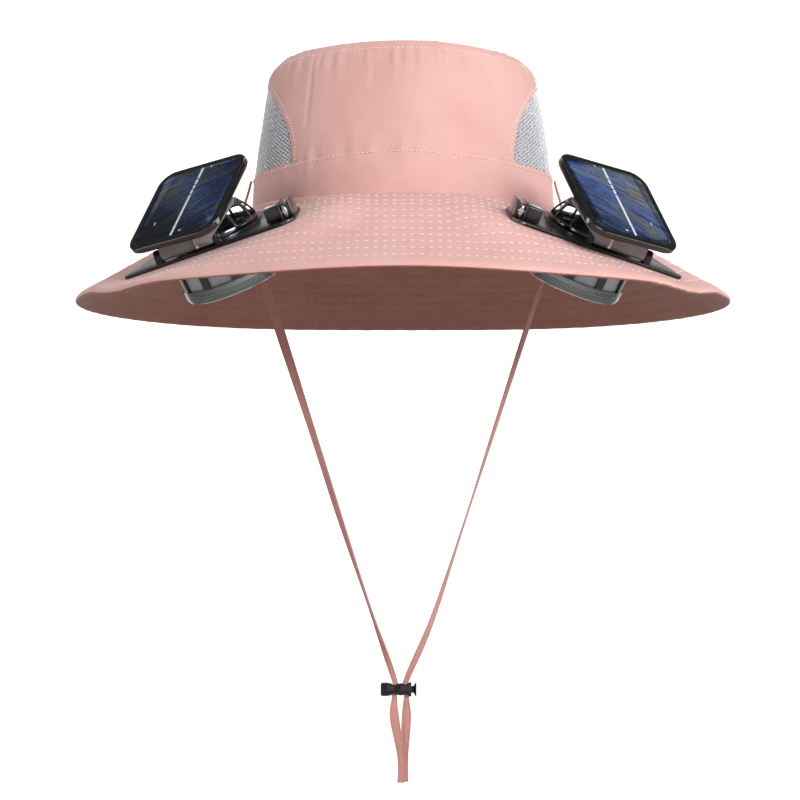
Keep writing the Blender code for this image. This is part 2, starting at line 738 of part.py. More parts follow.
def build_dome(side, black):
    """Ribs leave the hub and fork into Ys on their way to the rim; the cells are cut out."""
    bm = bmesh.new()

    def spot(radius, turn):
        return bm.verts.new((radius * math.cos(turn), radius * math.sin(turn), 0))

    step = math.tau / DOME_RIBS
    hubs = [spot(DOME_HUB, step * k) for k in range(DOME_RIBS)]
    forks = [spot(DOME_FORK, step * k) for k in range(DOME_RIBS)]
    rim_before = [spot(DOME_RADIUS, step * (k - 0.25)) for k in range(DOME_RIBS)]
    rim_after = [spot(DOME_RADIUS, step * (k + 0.25)) for k in range(DOME_RIBS)]
    hub_face = bm.faces.new(hubs)
    cells = []
    for k in range(DOME_RIBS):
        n = (k + 1) % DOME_RIBS
        cells.append(
            bm.faces.new((hubs[k], forks[k], rim_after[k], rim_before[n], forks[n], hubs[n]))
        )
        cells.append(bm.faces.new((forks[k], rim_before[k], rim_after[k])))
    bmesh.ops.subdivide_edges(
        bm, edges=[e for e in bm.edges if e not in hub_face.edges[:]], cuts=1
    )
    cells = [f for f in bm.faces if f is not hub_face]
    rim = [v for v in bm.verts if v.is_boundary]
    for v in rim:
        v.co *= DOME_RADIUS / v.co.length
    bmesh.ops.inset_individual(bm, faces=cells, thickness=RIB_HALF_WIDTH, use_even_offset=True)
    bmesh.ops.delete(bm, geom=cells, context="FACES_ONLY")
    for v in bm.verts:
        v.co.z = dome_height(v.co.xy.length)
    base = GAP + PLATE_THICK + GAP + GRILLE_THICK
    bmesh.ops.translate(bm, vec=(FAN_X, FAN_Y, base), verts=bm.verts)
    bmesh.ops.recalc_face_normals(bm, faces=bm.faces)
    if hub_face.normal.z < 0:
        bmesh.ops.reverse_faces(bm, faces=bm.faces)
    lower = bmesh.ops.extrude_face_region(bm, geom=bm.faces[:])["geom"]
    moved = [part for part in lower if isinstance(part, bmesh.types.BMVert)]
    centre = Vector((FAN_X, FAN_Y, base))
    for v in moved:
        away = v.co - centre
        tall = away.z / DOME_HEIGHT
        v.co.z -= GRILLE_THICK
        flat = Vector((away.x, away.y, 0))
        if flat.length > 0:
            v.co -= flat.normalized() * GRILLE_THICK * 0.5 * (1 - tall)
    add_object(f"dome_grille_{side}", placed(bm, side), black)


def build_basket(side, black):
    """A slotted, tapering wall, a heavy foot ring, and spokes that carry the motor."""
    bar = math.tau / BASKET_BARS * BAR_SHARE
    turns = []
    for k in range(BASKET_BARS):
        middle = math.tau * k / BASKET_BARS
        turns += [middle - bar / 2, middle + bar / 2]
    foot_top = BASKET_DEPTH - FOOT_RING
    at_foot = BASKET_RADIUS - 0.4 * (BASKET_RADIUS - BASKET_FOOT_RADIUS)
    spoke_start = BASKET_FOOT_RADIUS - SPOKE_RING
    rows = (
        # radius, depth below the brim's face
        (BASKET_RADIUS, 0.0),
        (BASKET_RADIUS, BRIM_THICK + SLOTS_BELOW_BRIM),
        (at_foot, foot_top),
        (at_foot - GAP, BASKET_DEPTH - FOOT_LIP),
        (BASKET_FOOT_RADIUS, BASKET_DEPTH),
        (spoke_start, BASKET_DEPTH + GAP),
        (MOTOR_RADIUS, BASKET_DEPTH),
    )
    slots_row, spokes_row = 1, 5
    bm = bmesh.new()
    grid = [
        [bm.verts.new((r * math.cos(t), r * math.sin(t), -d)) for r, d in rows] for t in turns
    ]
    for i in range(len(grid)):
        here, there = grid[i], grid[(i + 1) % len(grid)]
        on_bar = i % 2 == 0
        for k in range(len(rows) - 1):
            if k == slots_row and not on_bar:
                continue
            if k == spokes_row and not (on_bar and i % 4 == 0):
                continue
            bm.faces.new((here[k], there[k], there[k + 1], here[k + 1]))
    bm.faces.new([column[-1] for column in grid])
    bmesh.ops.recalc_face_normals(bm, faces=bm.faces)
    bmesh.ops.translate(bm, vec=(FAN_X, FAN_Y, 0), verts=bm.verts)
    basket = add_object(f"fan_basket_{side}", placed(bm, side), black)
    wall = basket.modifiers.new("wall", "SOLIDIFY")
    wall.thickness = BASKET_WALL
    wall.offset = -1
    wall.use_even_offset = True

    low = -BRIM_THICK * math.cos(UNIT_SLOPE) - GAP
    reach = BASKET_RADIUS + FLANGE_WIDTH
    (tip_x, tip_y), tip_r = TONGUE
    points = circle(FAN_X, FAN_Y, reach, 24) + circle(tip_x, tip_y, tip_r, 10)
    outline = [points[i] for i in convex_hull_2d(points)]
    flange = add_object(
        f"lower_flange_{side}", placed(slab(outline, low - FLANGE_THICK, low), side), black
    )
    hole = through_hole(BASKET_RADIUS + GAP, 40)
    boolean(flange, f"flange_hole_{side}", placed(hole, side), "DIFFERENCE", black)


def build_fan(side, black, steel):
    floor = -BASKET_DEPTH + BASKET_WALL + MOTOR_CLEARANCE
    top = floor + MOTOR_HEIGHT
    shaft_top = top + MOTOR_CLEARANCE + ROTOR_HEIGHT * 0.8
    outline = [
        (0, floor),
        (MOTOR_RADIUS - MOTOR_EDGE, floor),
        (MOTOR_RADIUS - MOTOR_EDGE / 2, top - MOTOR_EDGE),
        (MOTOR_RADIUS - MOTOR_EDGE * 1.5, top),
        (SHAFT_RADIUS, top),
        (SHAFT_RADIUS, shaft_top),
        (0, shaft_top),
    ]
    place = Matrix.Translation((FAN_X, FAN_Y, 0))
    add_object(f"motor_can_{side}", placed(turned_solid(outline, 16, place), side), steel)

    low = top + GAP * 2
    high = low + ROTOR_HEIGHT
    bore = SHAFT_RADIUS + SHAFT_CLEARANCE
    outline = [
        (0, shaft_top + GAP),
        (bore, shaft_top + GAP),
        (bore, low),
        (ROTOR_HUB, low),
        (ROTOR_HUB, high - ROTOR_EDGE),
        (ROTOR_HUB - ROTOR_EDGE, high),
        (0, high),
    ]
    centre = SIDES[side] @ Vector((FAN_X, FAN_Y, (low + high) / 2))
    hub = turned_solid(outline, 16, place)
    rotor = add_object(f"fan_rotor_{side}", placed(hub, side), black, centre)
    for k in range(ROTOR_BLADES):
        blade = box(
            (ROTOR_HUB - ROTOR_EDGE, -BLADE_HALF_WIDTH, -BLADE_THICK / 2),
            (ROTOR_RADIUS, BLADE_HALF_WIDTH, BLADE_THICK / 2),
        )
        pitch = Matrix.Rotation(BLADE_PITCH, 4, "X")
        turn = Matrix.Rotation(math.tau * k / ROTOR_BLADES, 4, "Z")
        lift = Matrix.Translation((FAN_X, FAN_Y, (low + high) / 2))
        bmesh.ops.transform(blade, matrix=lift @ turn @ pitch, verts=blade.verts)
        boolean(rotor, f"blade_{k}_{side}", placed(blade, side), "UNION", black)


def rounded_square(half, corner, arc_points=5):
    points = []
    for quarter in range(4):
        turn = math.pi / 2 * quarter
        cx = (half - corner) * math.copysign(1, math.cos(turn + math.pi / 4))
        cy = (half - corner) * math.copysign(1, math.sin(turn + math.pi / 4))
        for i in range(arc_points + 1):
            a = turn + math.pi / 2 * i / arc_points
            points.append((cx + corner * math.cos(a), cy + corner * math.sin(a)))
    return points


def build_panel(side, black, glossy, cell_look):
    axis = knuckle_axis()
    pivot_local = Vector(((KNUCKLE_X[0] + NECK_X[1]) / 2, KNUCKLE_Y, axis))
    pivot = SIDES[side] @ pivot_local
    half = PANEL_SIDE / 2
    edge = rounded_square(half, PANEL_CORNER)
    foot = rounded_square(half - PANEL_FOOT, PANEL_CORNER - PANEL_FOOT)
    lip = rounded_square(half - PANEL_BORDER, PANEL_CORNER - PANEL_BORDER)
    recess = CELL_THICK + GAP
    levels = (
        (foot, -PANEL_DEPTH),
        (edge, -PANEL_DEPTH + PANEL_FOOT),
        (edge, -PANEL_LIP),
        (rounded_square(half - PANEL_LIP, PANEL_CORNER - PANEL_LIP), 0.0),
        (lip, 0.0),
        (lip, -recess),
    )
    bm = bmesh.new()
    rings = [[bm.verts.new((x, y, z)) for x, y in outline] for outline, z in levels]
    count = len(edge)
    for below, above in zip(rings, rings[1:]):
        for k in range(count):
            bm.faces.new((below[k - 1], below[k], above[k], above[k - 1]))
    bm.faces.new(list(reversed(rings[0])))
    bm.faces.new(rings[-1])
    bmesh.ops.transform(bm, matrix=PANEL, verts=bm.verts)
    add_object(f"panel_tray_{side}", placed(bm, side), glossy, pivot)

    inset = PANEL_BORDER + GAP
    cell = slab(rounded_square(half - inset, PANEL_CORNER - inset), -CELL_THICK, 0.0)
    bmesh.ops.transform(cell, matrix=PANEL, verts=cell.verts)
    add_object(f"solar_cell_{side}", placed(cell, side), cell_look, pivot)

    half_knuckle = KNUCKLE_RADIUS
    barrel = [
        (
            KNUCKLE_Y + half_knuckle * math.cos(a),
            axis + half_knuckle * math.sin(a),
        )
        for a in (math.pi * (1 + i / 6) for i in range(7))
    ]
    riser = along_plate(
        [
            *barrel,
            (KNUCKLE_Y + half_knuckle, RISER_REACH),
            (KNUCKLE_Y - half_knuckle, RISER_REACH),
        ],
        *KNUCKLE_X,
    )
    neck = along_plate(
        [
            *barrel,
            *((KNUCKLE_Y + half_knuckle + back, height) for back, height in NECK_BACK),
            (KNUCKLE_Y - half_knuckle, NECK_BACK[-1][1]),
        ],
        *NECK_X,
    )
    under = PANEL @ Vector((0, 0, -PANEL_DEPTH - GAP))
    normal = PANEL.col[2].xyz
    for part in (riser, neck):
        cut = bmesh.ops.bisect_plane(
            part,
            geom=part.verts[:] + part.edges[:] + part.faces[:],
            plane_co=under,
            plane_no=normal,
            clear_outer=True,
        )
        rim = [e for e in cut["geom_cut"] if isinstance(e, bmesh.types.BMEdge)]
        bmesh.ops.contextual_create(part, geom=rim)
    bracket = add_object(f"panel_bracket_{side}", placed(riser, side), black, pivot)
    boolean(bracket, f"neck_{side}", placed(neck, side), "UNION", black)
    bore = rod(
        HINGE_PIN_RADIUS + GAP,
        (KNUCKLE_X[0] - BORE_PAST, KNUCKLE_Y, axis),
        (NECK_X[1] + BORE_PAST, KNUCKLE_Y, axis),
        12,
    )
    boolean(bracket, f"knuckle_bore_{side}", placed(bore, side), "DIFFERENCE", black)


def build_hat():
    clear_scene()
    cloth = material("rose cotton", (0.55, 0.27, 0.25), 0.9)
    mesh_look = material("knitted mesh", (0.62, 0.62, 0.65), 0.7)
    strap_look = material("rose ribbon", (0.50, 0.23, 0.21), 0.8)
    black = material("satin black plastic", (0.02, 0.02, 0.022), 0.35)
    glossy = material("gloss black plastic", (0.012, 0.012, 0.014), 0.12)
    cell_look = material("solar cell", (0.02, 0.03, 0.07), 0.15)
    steel = material("bright steel", (0.6, 0.6, 0.6), 0.25, 1.0)
    build_crown(cloth, mesh_look)
    build_brim(cloth)
    build_strap("left", -1, LEFT_STRAND_X, -0.0020, strap_look)
    build_strap("right", 1, RIGHT_STRAND_X, 0.0030, strap_look)
    build_lock(black)
    for side in SIDES:
        build_plate(side, black)
        build_latch(side, black, steel)
        build_dome(side, glossy)
        build_basket(side, glossy)
        build_fan(side, black, steel)
        build_panel(side, black, glossy, cell_look)


build_hat()
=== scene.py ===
"""The solar fan hat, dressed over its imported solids, seen as in the photograph.

Metres, +Z up. The wearer faces -Y, and an azimuth is counted from the front towards +X.
"""

import math

import bmesh
import bpy
import numpy as np
from mathutils import Euler, Matrix, Vector, noise
from mathutils.geometry import convex_hull_2d


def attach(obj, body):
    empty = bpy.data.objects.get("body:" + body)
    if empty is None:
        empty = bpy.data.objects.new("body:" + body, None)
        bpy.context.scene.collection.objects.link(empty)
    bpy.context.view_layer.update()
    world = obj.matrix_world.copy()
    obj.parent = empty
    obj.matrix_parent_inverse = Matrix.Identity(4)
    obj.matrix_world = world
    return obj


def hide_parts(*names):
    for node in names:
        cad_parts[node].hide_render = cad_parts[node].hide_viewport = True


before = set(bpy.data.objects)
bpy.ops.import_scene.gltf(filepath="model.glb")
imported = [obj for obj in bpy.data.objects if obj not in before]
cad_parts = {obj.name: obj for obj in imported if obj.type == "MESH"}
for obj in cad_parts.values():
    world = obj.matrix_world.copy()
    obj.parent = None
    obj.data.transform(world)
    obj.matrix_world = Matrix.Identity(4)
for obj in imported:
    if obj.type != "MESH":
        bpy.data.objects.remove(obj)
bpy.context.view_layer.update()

# The camera stands low in front of the hat, level with the cord lock, and looks up a little,
# through a long lens.
CAMERA_PLACE = Vector((-0.002, -2.5, -0.2934))
CAMERA_LOOKS_AT = Vector((-0.0018, 0.0, -0.1165))
CAMERA_LENS = 184.4


def show(name, data):
    """Puts an object with its data in the scene."""
    made = bpy.data.objects.new(name, data)
    bpy.context.scene.collection.objects.link(made)
    return made


camera = show("camera", bpy.data.cameras.new("camera"))
camera.data.lens = CAMERA_LENS
camera.data.sensor_width = 36
camera.location = CAMERA_PLACE
camera.rotation_euler = (CAMERA_LOOKS_AT - CAMERA_PLACE).to_track_quat("-Z", "Y").to_euler()
bpy.context.scene.camera = camera

# A pale studio sweep: a floor below the hanging strap that curves up into a wall, so far
# behind that a view from any side stands in front of it. Plain matt paper, which glows
# by itself towards the wall, so that it stays white.
FLOOR_HEIGHT = -0.42
SWEEP_WIDTH, SWEEP_FRONT, SWEEP_BACK = 9.0, -4.8, 4.8
SWEEP_CURVE = 0.6


def from_hex(code):
    """A hex sRGB colour as linear RGBA."""
    parts = [int(code[i : i + 2], 16) / 255 for i in (0, 2, 4)]
    return (*(p / 12.92 if p <= 0.04045 else ((p + 0.055) / 1.055) ** 2.4 for p in parts), 1)


def add_node(tree, kind, inputs=(), **settings):
    """Adds a node with its settings; inputs maps sockets to values or to other nodes' outputs."""
    made = tree.nodes.new(kind)
    for name, value in settings.items():
        setattr(made, name, value)
    for socket, value in dict(inputs).items():
        if isinstance(value, bpy.types.NodeSocket):
            tree.links.new(value, made.inputs[socket])
        else:
            made.inputs[socket].default_value = value
    return made


def start_material(name):
    """An empty material with its output; the maker links a shader to it."""
    made = bpy.data.materials.new(name)
    made.use_nodes = True
    tree = made.node_tree
    tree.nodes.clear()
    return made, tree, tree.nodes.new("ShaderNodeOutputMaterial")


def colour_ramp(tree, value, *stops):
    """A ramp of (place, hex colour) stops."""
    made = add_node(tree, "ShaderNodeValToRGB", {"Fac": value})
    while len(made.color_ramp.elements) < len(stops):
        made.color_ramp.elements.new(0.5)
    for element, (place, code) in zip(made.color_ramp.elements, stops):
        element.position = place
        element.color = from_hex(code)
    return made.outputs["Color"]


def map_range(tree, value, old, new):
    """Maps a value from one (low, high) range to another."""
    limits = {"From Min": old[0], "From Max": old[1], "To Min": new[0], "To Max": new[1]}
    return add_node(tree, "ShaderNodeMapRange", {"Value": value, **limits}).outputs[0]


def shade(tree, end, inputs):
    """Ends a material in one Principled shader."""
    shader = add_node(tree, "ShaderNodeBsdfPrincipled", inputs)
    tree.links.new(shader.outputs[0], end.inputs["Surface"])


def points_in(geom):
    return [g for g in geom if isinstance(g, bmesh.types.BMVert)]


def face_out(bm):
    bmesh.ops.recalc_face_normals(bm, faces=bm.faces)


paper, tree, end = start_material("matt white paper")
depth = add_node(
    tree,
    "ShaderNodeSeparateXYZ",
    {"Vector": add_node(tree, "ShaderNodeTexCoord").outputs["Object"]},
).outputs["Y"]
glow = map_range(tree, depth, (0.9, 1.9), (0.0, 1.0))
shade(tree, end, {
    "Base Color": from_hex("c4c4c4"),
    "Roughness": 0.9,
    "Emission Color": (1, 1, 1, 1),
    "Emission Strength": glow,
})

sweep = bmesh.new()
corner = sweep.verts.new((-SWEEP_WIDTH / 2, SWEEP_FRONT, FLOOR_HEIGHT))
back = sweep.verts.new((-SWEEP_WIDTH / 2, SWEEP_BACK, FLOOR_HEIGHT))
top = sweep.verts.new((-SWEEP_WIDTH / 2, SWEEP_BACK, FLOOR_HEIGHT + 3.0))
line = [sweep.edges.new((corner, back)), sweep.edges.new((back, top))]
bmesh.ops.bevel(
    sweep, geom=[back], offset=SWEEP_CURVE, segments=16, affect="VERTICES", profile=0.5, material=-1
)
across = bmesh.ops.extrude_edge_only(sweep, edges=sweep.edges[:])["geom"]
bmesh.ops.translate(sweep, vec=(SWEEP_WIDTH, 0, 0), verts=points_in(across))
face_out(sweep)
sheet_mesh = bpy.data.meshes.new("studio_sweep")
sweep.to_mesh(sheet_mesh)
sweep.free()
sheet_mesh.shade_smooth()
sheet_mesh.materials.append(paper)
backdrop = show("studio_sweep", sheet_mesh)

# Soft studio light: a large key on the right and in front, a weaker fill on the left, a lamp
# level with each side, and a strip over the top that draws a highlight along glossy parts.
LIGHTS = (
    # place, size, watts
    ("key", (1.3, -2.0, 0.85), (1.3, 1.0), 53),
    ("fill", (-1.8, -1.6, 0.6), (1.2, 1.0), 12),
    ("side_right", (2.2, -0.5, 0.4), (1.0, 1.0), 14),
    ("side_left", (-2.2, -0.3, 0.4), (0.8, 0.8), 9),
    ("top_strip", (0.0, 0.4, 1.8), (2.0, 0.5), 9),
)
for name, place, (wide, high), watts in LIGHTS:
    lamp = bpy.data.lights.new(name, "AREA")
    lamp.shape = "RECTANGLE"
    lamp.size, lamp.size_y = wide, high
    lamp.energy = watts
    holder = show(name, lamp)
    holder.location = place
    holder.rotation_euler = (-Vector(place)).to_track_quat("-Z", "Y").to_euler()

world = bpy.data.worlds.new("studio")
world.use_nodes = True
world.node_tree.nodes["Background"].inputs["Color"].default_value = (1, 1, 1, 1)
world.node_tree.nodes["Background"].inputs["Strength"].default_value = 0.10
bpy.context.scene.world = world
bpy.context.scene.view_settings.view_transform = "Standard"

# The chin strap: one flat woven cotton tape each side, sewn to the crown, led down through a
# slot in the brim, and twisting freely on its way to the cord lock and its sewn end below.
STRAP_WIDTH = 0.0063
STRAP_PINCHED = 0.0034
STRAP_THICK = 0.0012
STRAP_ROUTE = (
    # distance from the hat's middle, height, share of the full width, set back
    (0.0931, 0.0180, 1.00, 0),
    (0.0946, 0.0120, 1.00, 0),
    (0.0970, 0.0030, 1.00, 0),
    (0.0970, -0.0070, 1.00, 0),
    (0.0900, -0.0285, 1.00, 0),
    (0.0760, -0.0720, 1.00, 0),
    (0.0560, -0.1340, 0.85, 0),
    (0.0380, -0.1900, 0.95, 0),
    (0.0180, -0.2500, 0.80, 0),
)
STRAP_TWIST = {
    # degrees at each row of the route; each tape turns edge-on to the front somewhere
    "left": (0, 0, 0, 0, 50, 64, 46, 30, 14),
    "right": (0, 0, 0, 0, 22, 26, 18, 3, 32),
}
LOCK_HEIGHT = -0.2930
LOCK_HALF = 0.0041
STRAP_END_BELOW_LOCK = 0.0570
TAIL_SET_BACK = 0.0011
STRANDS = {"left": (-1, -0.0052, -0.0012), "right": (1, 0.0021, 0.0010)}
TAIL_CUT = 0.0014
TAPE_STEP = 0.0016


def calculate(tree, operation, *values, **settings):
    """A Math node on numbers or other nodes' outputs."""
    inputs = enumerate(values)
    return add_node(tree, "ShaderNodeMath", inputs, operation=operation, **settings).outputs[0]


def bump(tree, height, strength, depth):
    """Fine relief, its depth in metres."""
    inputs = {"Height": height, "Strength": strength, "Distance": depth}
    return add_node(tree, "ShaderNodeBump", inputs).outputs["Normal"]


def blotches(tree, scale, detail=2.0, roughness=0.5):
    """Noise fixed to the piece; scale counts its waves in a metre."""
    place = add_node(tree, "ShaderNodeTexCoord").outputs["Object"]
    inputs = {"Vector": place, "Scale": scale, "Detail": detail, "Roughness": roughness}
    return add_node(tree, "ShaderNodeTexNoise", inputs).outputs["Fac"]


def yarns(tree, place, scale, **more):
    """Warp and weft: waves across each other on a map in metres."""
    inputs = {"Vector": place, "Scale": scale, **more}
    return [
        add_node(tree, "ShaderNodeTexWave", inputs, bands_direction=axis).outputs["Fac"]
        for axis in ("X", "Y")
    ]


def cloth_material(name, light, dark, thread_mm, relief):
    """Plain-woven cotton: warp and weft threads on the UV map, which counts metres."""
    made, tree, end = start_material(name)
    place = add_node(tree, "ShaderNodeUVMap", uv_map="cloth").outputs["UV"]
    per_metre = 0.314 / (thread_mm / 1000)
    uneven = {"Distortion": 0.6, "Detail": 1.0, "Detail Scale": 0.4}
    weave = calculate(tree, "MULTIPLY", *yarns(tree, place, per_metre, **uneven))
    slubs = blotches(tree, 900.0, 3.0)
    clouds = blotches(tree, 28.0, 4.0)
    mixed = calculate(
        tree, "MULTIPLY_ADD", clouds, 0.55, calculate(tree, "MULTIPLY", slubs, 0.30)
    )
    tone = calculate(tree, "MULTIPLY_ADD", weave, 0.10, mixed)
    shade(tree, end, {
        "Base Color": colour_ramp(tree, tone, (0.30, dark), (0.72, light)),
        "Roughness": 0.86,
        "IOR": 1.47,
        "Specular IOR Level": 0.25,
        "Sheen Weight": 0.22,
        "Sheen Roughness": 0.45,
        "Normal": bump(tree, calculate(tree, "ADD", weave, slubs), 0.35, relief),
    })
    return made


# Woven cotton tape: fine cross ribs, a little darker and duller than the hat's cloth.
tape_cotton = cloth_material("woven cotton tape", "d9a098", "c0857b", 1.1, 0.0003)


def add_piece(name, bm, materials, body="hat", smooth=40):
    """Turns a bmesh in hat coordinates into an object that rides on a body."""
    mesh = bpy.data.meshes.new(name)
    bm.to_mesh(mesh)
    bm.free()
    for look in materials if isinstance(materials, (list, tuple)) else [materials]:
        mesh.materials.append(look)
    mesh.shade_smooth()
    mesh.set_sharp_from_angle(angle=math.radians(smooth))
    made = show(name, mesh)
    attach(made, body)
    return made


def smooth_route(rows, step):
    """Points about a step apart on a smooth curve through rows of numbers."""
    points = []
    padded = [rows[0], *rows, rows[-1]]
    for p0, p1, p2, p3 in zip(padded, padded[1:], padded[2:], padded[3:]):
        count = max(1, round(math.dist(p1[:2], p2[:2]) / step))
        for i in range(count):
            t = i / count
            points.append(
                [
                    0.5 * (2 * b + (c - a) * t + (2 * a - 5 * b + 4 * c - d) * t * t
                           + (3 * b - a - 3 * c + d) * t**3)
                    for a, b, c, d in zip(p0, p1, p2, p3)
                ]
            )
    return [*points, list(rows[-1])]


def tape_outline():
    """A flat tape's cross-section: thick rounded selvedges and a thinner middle."""
    points = []
    for i in range(21):
        across = 1 - i / 10
        edge = max(0, (abs(across) - 0.72) / 0.28)
        fold = 0.42 * math.exp(-(((abs(across) - 0.6) / 0.09) ** 2))
        points.append((across, 0.86 + 0.14 * min(1, edge * 3) - 0.55 * edge**3 - fold))
    return points + [(x, -y) for x, y in reversed(points)]


for side, (sign, strand_x, end_x) in STRANDS.items():
    pinch = STRAP_PINCHED / STRAP_WIDTH
    at_lock = sign * strand_x
    back = sign * TAIL_SET_BACK
    rows = [
        *((*row[:3], twist, row[3]) for row, twist in zip(STRAP_ROUTE, STRAP_TWIST[side])),
        (at_lock, LOCK_HEIGHT + 1.4 * LOCK_HALF, pinch, 90, 0),
        (at_lock, LOCK_HEIGHT, pinch, 90, 0),
        (at_lock, LOCK_HEIGHT - 1.4 * LOCK_HALF, pinch, 90, 0),
        (at_lock, LOCK_HEIGHT - 0.3 * STRAP_END_BELOW_LOCK, 0.92, 90, back),
        (sign * end_x, LOCK_HEIGHT - 0.72 * STRAP_END_BELOW_LOCK, 0.72, 90, back),
        (sign * end_x, LOCK_HEIGHT - STRAP_END_BELOW_LOCK, 0.72, 90, back),
    ]
    route = smooth_route(rows, TAPE_STEP)
    middles = [Vector((sign * out, set_back, height)) for out, height, _, _, set_back in route]
    outline = tape_outline()
    bm = bmesh.new()
    tape_map = bm.loops.layers.uv.new("cloth")
    rings = []
    travelled = 0.0
    lengths = []
    for i, (_, _, share, twist, _) in enumerate(route):
        before, after = middles[max(i - 1, 0)], middles[min(i + 1, len(route) - 1)]
        run = (after - before).normalized()
        wide = Matrix.Rotation(math.radians(twist) * sign, 3, run) @ Vector((0, 1, 0))
        thin = run.cross(wide)
        if i:
            travelled += (middles[i] - middles[i - 1]).length
        lengths.append(travelled)
        cup = 0.10 * math.sin(travelled / 0.021)
        rings.append(
            [
                bm.verts.new(
                    middles[i]
                    + wide * x * STRAP_WIDTH * share / 2
                    + thin * (y * STRAP_THICK / 2 + cup * STRAP_THICK * (x * x - 0.4))
                    - run * (TAIL_CUT * (1 + sign * x) / 2 if i == len(route) - 1 else 0)
                )
                for x, y in outline
            ]
        )
    count = len(outline)
    for i, (here, there) in enumerate(zip(rings, rings[1:])):
        for k in range(count):
            face = bm.faces.new((here[k], there[k], there[k - 1], here[k - 1]))
            corners = ((i, k), (i + 1, k), (i + 1, k - 1), (i, k - 1))
            for loop, (at, place) in zip(face.loops, corners):
                loop[tape_map].uv = (outline[place][0] * STRAP_WIDTH / 2, lengths[at])
    bm.faces.new(rings[0])
    bm.faces.new(list(reversed(rings[-1])))
    face_out(bm)
    strap = add_piece(f"tape_{side}", bm, tape_cotton)
    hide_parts(f"strap_{side}")
    print(side, "strap", round(travelled, 4))

# The hat's cloth: dusty rose cotton in a fine plain weave, cut in panels and sewn together.
# The crown is a side wall, a lower band sewn over it and a round tip; each seam puckers a little.
GAP = 0.0003
CLOTH = 0.0016
CROWN_BASE_RADIUS, CROWN_HEIGHT = 0.0930, 0.0900
CROWN_TOP_SEAM, CROWN_TIP_RISE = 0.0030, 0.0030
CROWN_PROFILE = (
    # share of the height, share of the base radius
    (0.00, 1.000),
    (0.22, 0.978),
    (0.42, 0.955),
    (0.62, 0.930),
    (0.82, 0.896),
    (0.905, 0.872),
    (0.955, 0.845),
    (1.00, 0.800),
)
BAND_HEIGHT_FRONT, BAND_HEIGHT_SIDE = 0.0270, 0.0200
BAND_DIP_AZIMUTH = math.radians(70)
WINDOW_HALF_WIDTH, WINDOW_HEIGHT = 0.0610, 0.0545
CREASES = (
    # azimuth in degrees, lowest and highest height, depth, width of each standing fold
    (-41, 0.040, 0.088, 0.0007, 0.0016),
    (-12, 0.058, 0.088, 0.0004, 0.0030),
    (8, 0.034, 0.050, -0.0005, 0.0040),
    (27, 0.030, 0.052, -0.0008, 0.0030),
    (38, 0.060, 0.088, 0.0005, 0.0022),
    (155, 0.035, 0.070, 0.0006, 0.0030),
    (-150, 0.050, 0.086, 0.0006, 0.0022),
)
ROUND_STEPS = 480

rose_cotton = cloth_material("plain-woven rose cotton", "e9bcb5", "dba89f", 0.8, 0.0002)
# The brim's lower ply is the same cloth; this darker, browner copy of it paints the shade under the
# brim.
shaded_rose_cotton = cloth_material("plain-woven rose cotton, painted shade", "a97263", "996252", 0.8, 0.0002)


def thread_material(name, dark, light):
    """Spun polyester sewing thread: mottled by its plies and a little shiny."""
    made, tree, end = start_material(name)
    shade(tree, end, {
        "Base Color": colour_ramp(tree, blotches(tree, 2500.0), (0.35, dark), (0.65, light)),
        "Roughness": 0.5,
        "IOR": 1.5,
        "Sheen Weight": 0.3,
    })
    return made


white_thread = thread_material("white polyester sewing thread", "f0e0e2", "ffffff")
# The stitches under the brim are coloured darker and browner than those above: painted shade under
# the brim.
shaded_thread = thread_material("polyester sewing thread, painted shade", "a5837a", "b59489")


def smooth_step(t):
    t = np.clip(t, 0.0, 1.0)
    return t * t * (3 - 2 * t)


def azimuth_of(p):
    return math.atan2(p.x, -p.y)


def around(azimuth, radius, height):
    return Vector((radius * math.sin(azimuth), -radius * math.cos(azimuth), height))


# The profile is drawn as a smooth line through its rows, so the wall has no facets.
crown_line = smooth_route(
    [(r * CROWN_BASE_RADIUS, h * CROWN_HEIGHT) for h, r in CROWN_PROFILE], 0.001
)


def front_lift(azimuth, height):
    """The worn crown stands a little higher at its front and back than at its sides."""
    share = float(smooth_step((height - 0.045) / (CROWN_HEIGHT - 0.045)))
    return share * (0.0040 * math.cos(azimuth) ** 2 - 0.0012 * max(0.0, math.sin(azimuth)) ** 2)


def crown_radius(height):
    return float(np.interp(height, [h for _, h in crown_line], [r for r, _ in crown_line]))


def band_top(azimuth):
    """The band stands higher at the front and back than at the sides."""
    from_front = math.asin(abs(math.sin(azimuth)))
    share = 1 - float(smooth_step(from_front / BAND_DIP_AZIMUTH))
    return BAND_HEIGHT_SIDE + (BAND_HEIGHT_FRONT - BAND_HEIGHT_SIDE) * share


def ripple(azimuth, spacing, seed):
    """A wavy number from -1 to 1 along a seam; spacing is in metres of the seam."""
    turn = CROWN_BASE_RADIUS / spacing
    place = Vector((turn * math.sin(azimuth), turn * math.cos(azimuth), seed))
    return noise.noise(place) * 1.6


def crown_relief(azimuth, height):
    """How far the crown's cloth stands proud of its smooth form."""
    top = CROWN_HEIGHT - CROWN_TOP_SEAM
    low = band_top(azimuth)
    proud = 0.0011 * math.exp(-abs(top - 0.007 - height) / 0.0060) * ripple(azimuth, 0.0050, 1.7)
    proud += 0.0007 * math.exp(-abs(height - low) / 0.0050) * ripple(azimuth, 0.0060, 4.2)
    spot = around(azimuth, CROWN_BASE_RADIUS, height)
    proud += 0.0009 * noise.noise(spot * 26) + 0.0004 * noise.noise(spot * 70)
    for turn, start, stop, deep, wide in CREASES:
        off = (azimuth - math.radians(turn)) * CROWN_BASE_RADIUS / wide
        if abs(off) < 4:
            fade = smooth_step((height - start) / 0.008) * smooth_step((stop - height) / 0.008)
            proud -= deep * math.exp(-off * off) * float(fade)
    return proud


